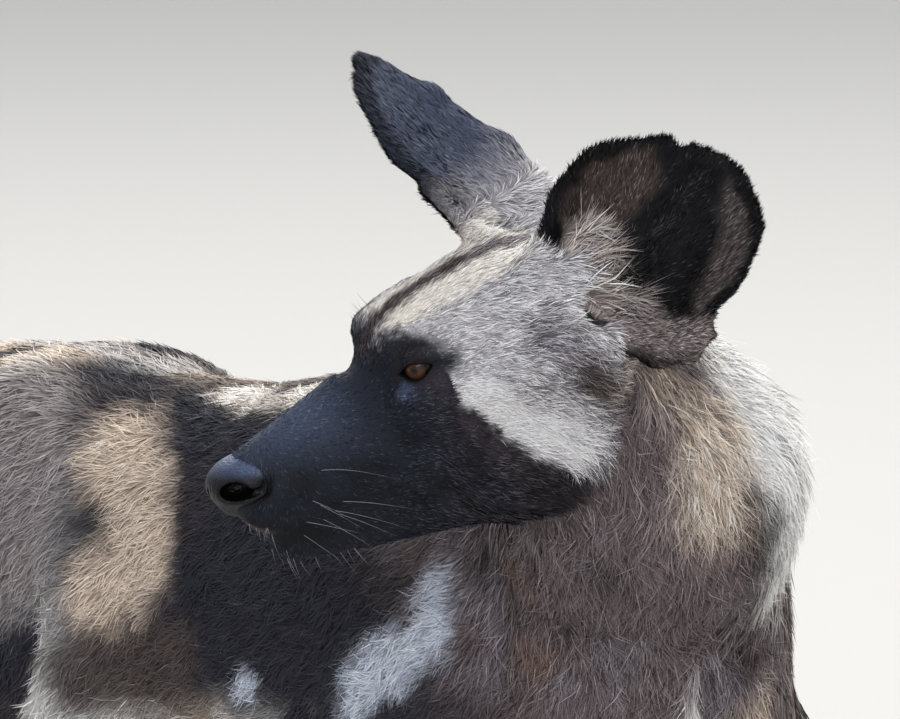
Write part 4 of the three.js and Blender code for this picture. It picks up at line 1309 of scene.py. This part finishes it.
class WILDDOG_OT_coat(bpy.types.Operator):
    """Grows the coat in tufts over the whole skin"""
    bl_idname = "wilddog.coat"
    bl_label = "Coat"

    def execute(self, context):
        settings = context.scene.wild_dog_coat
        points, normals, faces, found = built_skin("points", "normals", "faces", "found")
        length, width, density, rise = coat_numbers(found)
        region = coat_regions(found)
        face_region = region[faces[:, 0]]
        materials = {"sleek": hair_material("sleek_face_hair", 0.55, 0.0),
                     "guard": hair_material("coarse_guard_hair", 0.65, 0.05)}
        for number, (name, slot, levels) in enumerate(COAT_PIECES):
            rng = np.random.default_rng(number + 7)
            part = faces[face_region == number]
            share = density[part].mean(1) * (density[part] > 0).all(1) * settings.density
            at, weights = scatter(part, points, share, rng)
            limit = MOST_TRIANGLES // (2 * levels - 1)
            if len(at) > limit:
                keep = np.sort(rng.permutation(len(at))[:limit])
                at, weights = at[keep], weights[keep]
            flat = np.einsum("nk,nkc->nc", weights, unwrap(points, part)[at])

            def carry(values):
                """Values of the skin's points, at the roots"""
                return np.einsum("nk,nk...->n...", weights, values[part[at]]).astype(F)

            roots, out, lie = carry(points), unit(carry(normals)), carry(found.lie)
            reach = carry(length) * settings.length * rng.normal(1, 0.14, len(at)).clip(0.6, 1.4)
            lie = combed(roots, out, lie, np.clip((carry(length) - 4) / 24, 0, 1), rng)
            seen = Survey(roots + lie * (COLOUR_AT * reach)[:, None].astype(F), out)
            colour, grizzle = markings(seen.points, seen.q, carry(found.shares),
                                       ears_at(carry(found.ear), seen.ears))
            colour = tint(colour, grizzle, rng)
            lift = carry(rise) * rng.normal(1, 0.3, len(at)).clip(0.4, 2.0)
            tufts(name, roots, out, lie, reach.astype(F), carry(width), lift.astype(F), colour, flat, levels,
                  slot, materials["sleek" if "face" in name or "ear" in name else "guard"], number + 31)
        return {"FINISHED"}


# Shapes made of rings
def ring_faces(rows, sides):
    """The faces between rings of points, each ring joined to the next"""
    k = np.arange(rows * sides)
    right = k - k % sides + (k + 1) % sides
    return np.stack([k, right, right + sides, k + sides], 1)


def tube(path, radii, sides):
    """A tapered tube along a path, open at its ends: its points and faces of four corners"""
    path = np.asarray(path, float)
    run = unit(np.gradient(path, axis=0))
    side = unit(np.cross(run, (0.3, 0.2, 1)))
    up = np.cross(run, side)
    turn = np.arange(sides) / sides * 2 * math.pi
    ring = np.cos(turn)[None, :, None] * side[:, None] + np.sin(turn)[None, :, None] * up[:, None]
    points = (path[:, None] + ring * np.asarray(radii)[:, None, None]).reshape(-1, 3)
    return points, ring_faces(len(path) - 1, sides)


def joined(parts):
    """One set of points and faces from many"""
    starts = np.cumsum([0] + [len(points) for points, faces in parts[:-1]])
    return np.concatenate([points for points, faces in parts]), np.concatenate(
        [faces + start for (points, faces), start in zip(parts, starts)])


# Name, hue, and rows of hairs: place in the head's frame, number on a side, spread, direction, length and
# radius
WHISKERS = (
    ("pale_whiskers", "whisker", (
        ((50, 22, -52), 5, 6, (-0.8, 0.45, 0.0), 36, 0.11),
        ((62, 19, -56), 4, 5, (-0.65, 0.5, -0.25), 28, 0.10),
        ((78, 9, -80), 5, 5, (-0.15, 0.3, -0.9), 12, 0.10),
        ((52, 12, -90), 6, 8, (-0.45, 0.2, -0.8), 11, 0.10),
        ((86, 15, -60), 9, 3, (0.1, 0.5, -0.8), 5, 0.11),
    )),
    ("dark_lashes", "lash", (
        ((3, 38, 9), 12, 2.2, (0.35, 0.85, 0.15), 6, 0.13),
        ((0, 30, 16), 7, 4, (0.3, 0.75, 0.6), 12, 0.10),
    )),
)


def whisker(found, row, side, rng):
    """A hair of the row, from the nearest place on the skin, drooping towards its tip"""
    place, _, spread, aim, length, radius = row
    target = np.array(place) + rng.normal(0, spread, 3)
    far = ((mirrored(found.q, 1) - target) ** 2).sum(1) + 1e6 * (found.q[:, 1] * side < 0)
    at = np.argmin(far)
    out = found.normals[at] @ HEAD_AXES.T
    run = unit(np.array(aim) * (1, side, 1) + rng.normal(0, 0.12, 3) + 0.35 * out)
    reach = length * rng.uniform(0.6, 1.1)
    t = np.linspace(0, 1, 9)
    droop = np.array((-0.25, 0, -0.35)) * rng.uniform(0.2, 1)
    path = found.q[at] + reach * (t[:, None] * run + (t * t)[:, None] * droop)
    return tube(from_head(path), radius * (1.02 - t), 5)


class WILDDOG_OT_whiskers(bpy.types.Operator):
    """Builds the whiskers of the lips and chin, and the lashes"""
    bl_idname = "wilddog.whiskers"
    bl_label = "Whiskers"

    def execute(self, context):
        found, = built_skin("found")
        for name, hue, rows in WHISKERS:
            rng = np.random.default_rng(len(name))
            parts = [whisker(found, row, side, rng)
                     for row in rows for side in (1, -1) for k in range(row[1])]
            piece = new_piece(name, *joined(parts), "face_coat")
            # Keratin: smooth and glossy, so that a whisker catches the light along its length
            piece.data.materials.append(horn_material(name + "_hair", 0.35, 1.55, WHISKER_BANDS,
                                                      ((0, hue + "_dark"), (1, hue + "_pale"))))
        return {"FINISHED"}


EYE_RINGS, EYE_SIDES = 72, 64
CORNEA_RISE = 0.9


def eyeball(mirror):
    """Points and faces of an eyeball with a domed front, and each point's place round its axis"""
    look = unit(EYE_LOOK * mirror)
    across = unit(np.cross((0, 0, 1), look))
    up = np.cross(look, across)
    tilt = (np.arange(EYE_RINGS + 1) / EYE_RINGS)[:, None] ** 1.3 * math.pi
    turn = (np.arange(EYE_SIDES) / EYE_SIDES)[None] * 2 * math.pi
    radius = EYE_RADIUS + CORNEA_RISE * ramp(tilt, 0.62, 0.1)
    off = (np.cos(tilt) * radius)[..., None] * look + (np.sin(tilt) * radius)[..., None] * (
        np.cos(turn)[..., None] * across + np.sin(turn)[..., None] * up)
    spread = np.broadcast_to(np.sin(tilt) * radius, (EYE_RINGS + 1, EYE_SIDES))
    spread = np.where(tilt > math.pi / 2, 20, spread)
    wheel = np.stack([spread * np.cos(turn), spread * np.sin(turn), spread], -1)
    points = from_head(EYE_PLACE * mirror + off.reshape(-1, 3))
    return points, ring_faces(EYE_RINGS, EYE_SIDES)[:, [0, 3, 2, 1]], wheel.reshape(-1, 3) / 10


class WILDDOG_OT_eyes(bpy.types.Operator):
    """Builds the eyeballs with their clear domed fronts"""
    bl_idname = "wilddog.eyes"
    bl_label = "Eyes"

    def execute(self, context):
        material = eye_material()
        for name, side in (("left", 1), ("right", -1)):
            points, faces, wheel = eyeball(np.array((1, side, 1), F))
            piece = new_piece(f"fine_eye_{name}", points, faces, "eye")
            paint(piece.data, "eye_wheel", wheel)
            piece.data.materials.append(material)
            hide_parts(f"eye_{name}")
        return {"FINISHED"}


def nostrils(q):
    """The holes of the nose, the slits that curve up beside them and the groove between"""
    a = mirrored(q, 1)
    back, out = np.array((-0.79, 0.61, 0), F), np.array((0.61, 0.79, 0), F)
    off = a - np.array((93, 13, -37), F)
    hole = egg(np.stack([off @ back, off @ out, off[:, 2]], 1), (0, 0, 0), (8, 8, 4.6))
    slit = chain(a, (((88, 18.5, -38.5), 2.2), ((82, 20.5, -38), 1.6), ((79, 20, -33), 1.0)), 1)
    return np.minimum(melt(hole, slit, 2), rod(q, (103, 0, -37), (99, 0, -52), 0.8, 1.1))


def nose_field(p):
    """The bare nose, level with the bridge behind it"""
    q = to_head(p.astype(F))
    d = egg(q, NOSE_PLACE, (12.5, 17, 11.5))
    d = melt(d, rod(q, (78, 0, -31), (95, 0, -38), 9, 7.5, ACROSS_HEAD, 0.66), 6)
    d = melt(d, egg(mirrored(q, 1), (84.5, 12.5, -38), (9, 8, 8.5)), 4)
    d = melt(d, egg(q, (91, 0, -46), (8, 8, 8)), 5)
    return carve(d, nostrils(q), 1.8)


class WILDDOG_OT_nose(bpy.types.Operator):
    """Builds the nose pad"""
    bl_idname = "wilddog.nose"
    bl_label = "Nose"

    def execute(self, context):
        step = context.scene.wild_dog_sizes.nose_step / MM
        middle = from_head(NOSE_PLACE)
        lines = [grid_line(c - 27, c + 27, [], step) for c in middle]
        points, faces = net(sample(nose_field, lines), lines)
        points, normals = settle(nose_field, points.astype(F), faces)
        piece = new_piece("fine_nose", points, faces, "nose_leather")
        q = to_head(points)
        # Painted sheen: faces that look up are painted greyer, for the light on the nose's top
        top = ramp(normals[:, 2], 0.35, 1.0)[:, None]
        colour = mix(hue_of("nose_side"), hue_of("nose_top_painted_sheen"), top)
        # Painted shade: the nostril holes are painted near black, for the shade inside them
        hole = ramp(nostrils(q), 1.7, 0.5)[:, None]
        paint(piece.data, "nose_colour", colour * (1 - hole) + hole * hue_of("ink") * 0.15)
        piece.data.materials.append(nose_material())
        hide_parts("nose")
        return {"FINISHED"}


def claw(toe, paw_y, half, side):
    """One claw, curved down from the front of its toe"""
    across, ahead = toe
    t = np.linspace(0, 1, 12)
    base = np.array((FOOT_SPREAD + across * half * 1.3, paw_y - ahead - 7, TOE_RADIUS + 2))
    path = base + np.stack([0 * t, 3 - CLAW_LENGTH * t, 1.5 * t - 6.5 * t * t], 1)
    points, faces = tube(path, CLAW_RADIUS * np.sqrt(1 - t ** 1.6) * (1 - 0.35 * t) + 0.02, 12)
    points[:, 0] *= side
    return points, faces[:, ::-1] if side < 0 else faces


class WILDDOG_OT_claws(bpy.types.Operator):
    """Builds the sixteen claws"""
    bl_idname = "wilddog.claws"
    bl_label = "Claws"

    def execute(self, context):
        parts, nodes = [], []
        for pair, y, half in (("fore", FORE_FOOT_Y, FORE_PAW_HALF), ("hind", HIND_FOOT_Y, HIND_PAW_HALF)):
            for name, side in (("left", 1), ("right", -1)):
                parts += [claw(toe, y, half, side) for toe in TOES]
                nodes += [f"{pair}_claw_{name}_{number}" for number in range(1, len(TOES) + 1)]
        piece = new_piece("claws", *joined(parts), "claw_horn")
        # Claw horn: dark, streaked and worn to a dull polish
        piece.data.materials.append(horn_material("claw_horn", 0.34, 1.54, CLAW_STREAKS,
                                                  ((0.35, "claw_dark"), (0.7, "claw_pale"))))
        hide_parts(*nodes)
        return {"FINISHED"}


class WildDogStage(bpy.types.PropertyGroup):
    """Camera and floor"""
    azimuth: FloatProperty(name="Azimuth", description="Camera's direction round the animal",
                           default=math.radians(-40), subtype="ANGLE")
    elevation: FloatProperty(name="Elevation", description="Camera's height as an angle",
                             default=math.radians(7), subtype="ANGLE")
    distance: FloatProperty(name="Distance", description="Camera's distance from the head",
                            default=7.143, unit="LENGTH")
    lens: FloatProperty(name="Lens", description="Focal length in millimetres", default=600, unit="CAMERA")
    floor_colour: FloatVectorProperty(name="Floor", description="Colour of the floor", subtype="COLOR",
                                      default=linear("#b9b8b5"), min=0, max=1)


# Name, place and width in metres, power in watts, and colour
LIGHTS = (
    ("sky_panel", (3.6, -0.6, 6.8), 5.5, 410, "#fffaf2"),
    ("front_panel", (-6.4, -5.2, 3.8), 5, 300, "#f3f5ff"),
    ("back_panel", (3.6, 5.2, 4.8), 4, 200, "#ffffff"),
)
# What the camera looks at, in millimetres to its right and up from the head's middle
AIM_RIGHT, AIM_UP = 26.7, -2.14
SENSOR_WIDTH = 36   # millimetres
FLOOR_WIDTH = 600  # metres, so that its edge lies at the horizon


def new_camera(scene, stage):
    """The camera, at the photo's angle and framing"""
    azimuth, elevation = stage.azimuth, stage.elevation
    back = np.array((math.sin(azimuth) * math.cos(elevation), -math.cos(azimuth) * math.cos(elevation),
                     math.sin(elevation)))
    right = np.array((math.cos(azimuth), math.sin(azimuth), 0))
    up = np.cross(back, right)
    aim = put(HEAD_PLACE + AIM_RIGHT * right + AIM_UP * up)
    camera = bpy.data.objects.new("camera", bpy.data.cameras.new("camera"))
    camera.data.lens = stage.lens
    camera.data.sensor_width = SENSOR_WIDTH
    camera.data.clip_start, camera.data.clip_end = 0.1, 1000
    camera.matrix_world = Matrix(np.vstack([
        np.column_stack([right, up, back, aim + back * stage.distance]), [0, 0, 0, 1]]).tolist())
    scene.collection.objects.link(camera)
    scene.camera = camera


def new_floor(colour):
    """A wide floor of matt paint, which takes soft shadows and shows no gloss"""
    bpy.ops.mesh.primitive_plane_add(size=FLOOR_WIDTH)
    floor = bpy.context.object
    floor.name = "floor"
    material, _, shader = new_material("matt_floor_paint", Roughness=0.9)
    shader.inputs["Base Color"].default_value = (*colour, 1)
    floor.data.materials.append(material)


def new_lights(scene):
    """Round soft panels that face the head"""
    for name, place, size, power, colour in LIGHTS:
        light = bpy.data.lights.new(name, "AREA")
        light.shape, light.size, light.energy, light.color = "DISK", size, power, linear(colour)
        lamp = bpy.data.objects.new(name, light)
        lamp.location = place
        lamp.rotation_euler = (Vector(place) - Vector(put(HEAD_PLACE))).to_track_quat("Z", "Y").to_euler()
        scene.collection.objects.link(lamp)


def new_world():
    """A pale studio, which meets the floor's far edge in the floor's own shade"""
    world = bpy.data.worlds.new("studio")
    world.use_nodes = True
    tree = world.node_tree
    place = add_node(tree, "ShaderNodeTexCoord")
    split = add_node(tree, "ShaderNodeSeparateXYZ", {"Vector": (place, "Generated")})
    height = add_node(tree, "ShaderNodeMapRange", {
        "Value": (split, "Z"), "From Min": 0.06, "From Max": 0.45})
    dome = add_node(tree, "ShaderNodeMix", {"Factor": (height, "Result")}, data_type="RGBA")
    dome.inputs[6].default_value = (*linear("#b7b8b8"), 1)
    dome.inputs[7].default_value = (*linear("#f4f6fa"), 1)
    tree.links.new(dome.outputs[2], tree.nodes["Background"].inputs["Color"])
    tree.nodes["Background"].inputs["Strength"].default_value = 0.95
    return world


class WILDDOG_OT_stage(bpy.types.Operator):
    """Builds the floor, the soft lights and the camera"""
    bl_idname = "wilddog.stage"
    bl_label = "Stage"

    def execute(self, context):
        scene = context.scene
        new_camera(scene, scene.wild_dog_stage)
        new_floor(scene.wild_dog_stage.floor_colour)
        new_lights(scene)
        scene.world = new_world()
        scene.view_settings.view_transform = "Standard"
        return {"FINISHED"}


OPERATORS = (WILDDOG_OT_skin, WILDDOG_OT_coat, WILDDOG_OT_whiskers, WILDDOG_OT_eyes, WILDDOG_OT_nose,
             WILDDOG_OT_claws, WILDDOG_OT_stage)


class WILDDOG_PT_panel(bpy.types.Panel):
    """Lists the animal's pieces"""
    bl_label = "Wild dog"
    bl_space_type = "VIEW_3D"
    bl_region_type = "UI"
    bl_category = "Wild dog"

    def draw(self, context):
        for operator in OPERATORS:
            self.layout.operator(operator.bl_idname)


SETTINGS = {"wild_dog_sizes": WildDogSizes, "wild_dog_hues": WildDogHues, "wild_dog_coat": WildDogCoat,
            "wild_dog_stage": WildDogStage}


def register():
    """Makes the settings, operators and panel known"""
    for cls in (*SETTINGS.values(), *OPERATORS, WILDDOG_PT_panel):
        bpy.utils.register_class(cls)
    for name, group in SETTINGS.items():
        setattr(bpy.types.Scene, name, PointerProperty(type=group))


def unregister():
    """Takes them away again"""
    for name in SETTINGS:
        delattr(bpy.types.Scene, name)
    for cls in reversed((*SETTINGS.values(), *OPERATORS, WILDDOG_PT_panel)):
        bpy.utils.unregister_class(cls)


def main():
    """Builds every piece in order"""
    register()
    for operator in OPERATORS:
        group, name = operator.bl_idname.split(".")
        getattr(getattr(bpy.ops, group), name)()


if __name__ == "__main__":
    main()
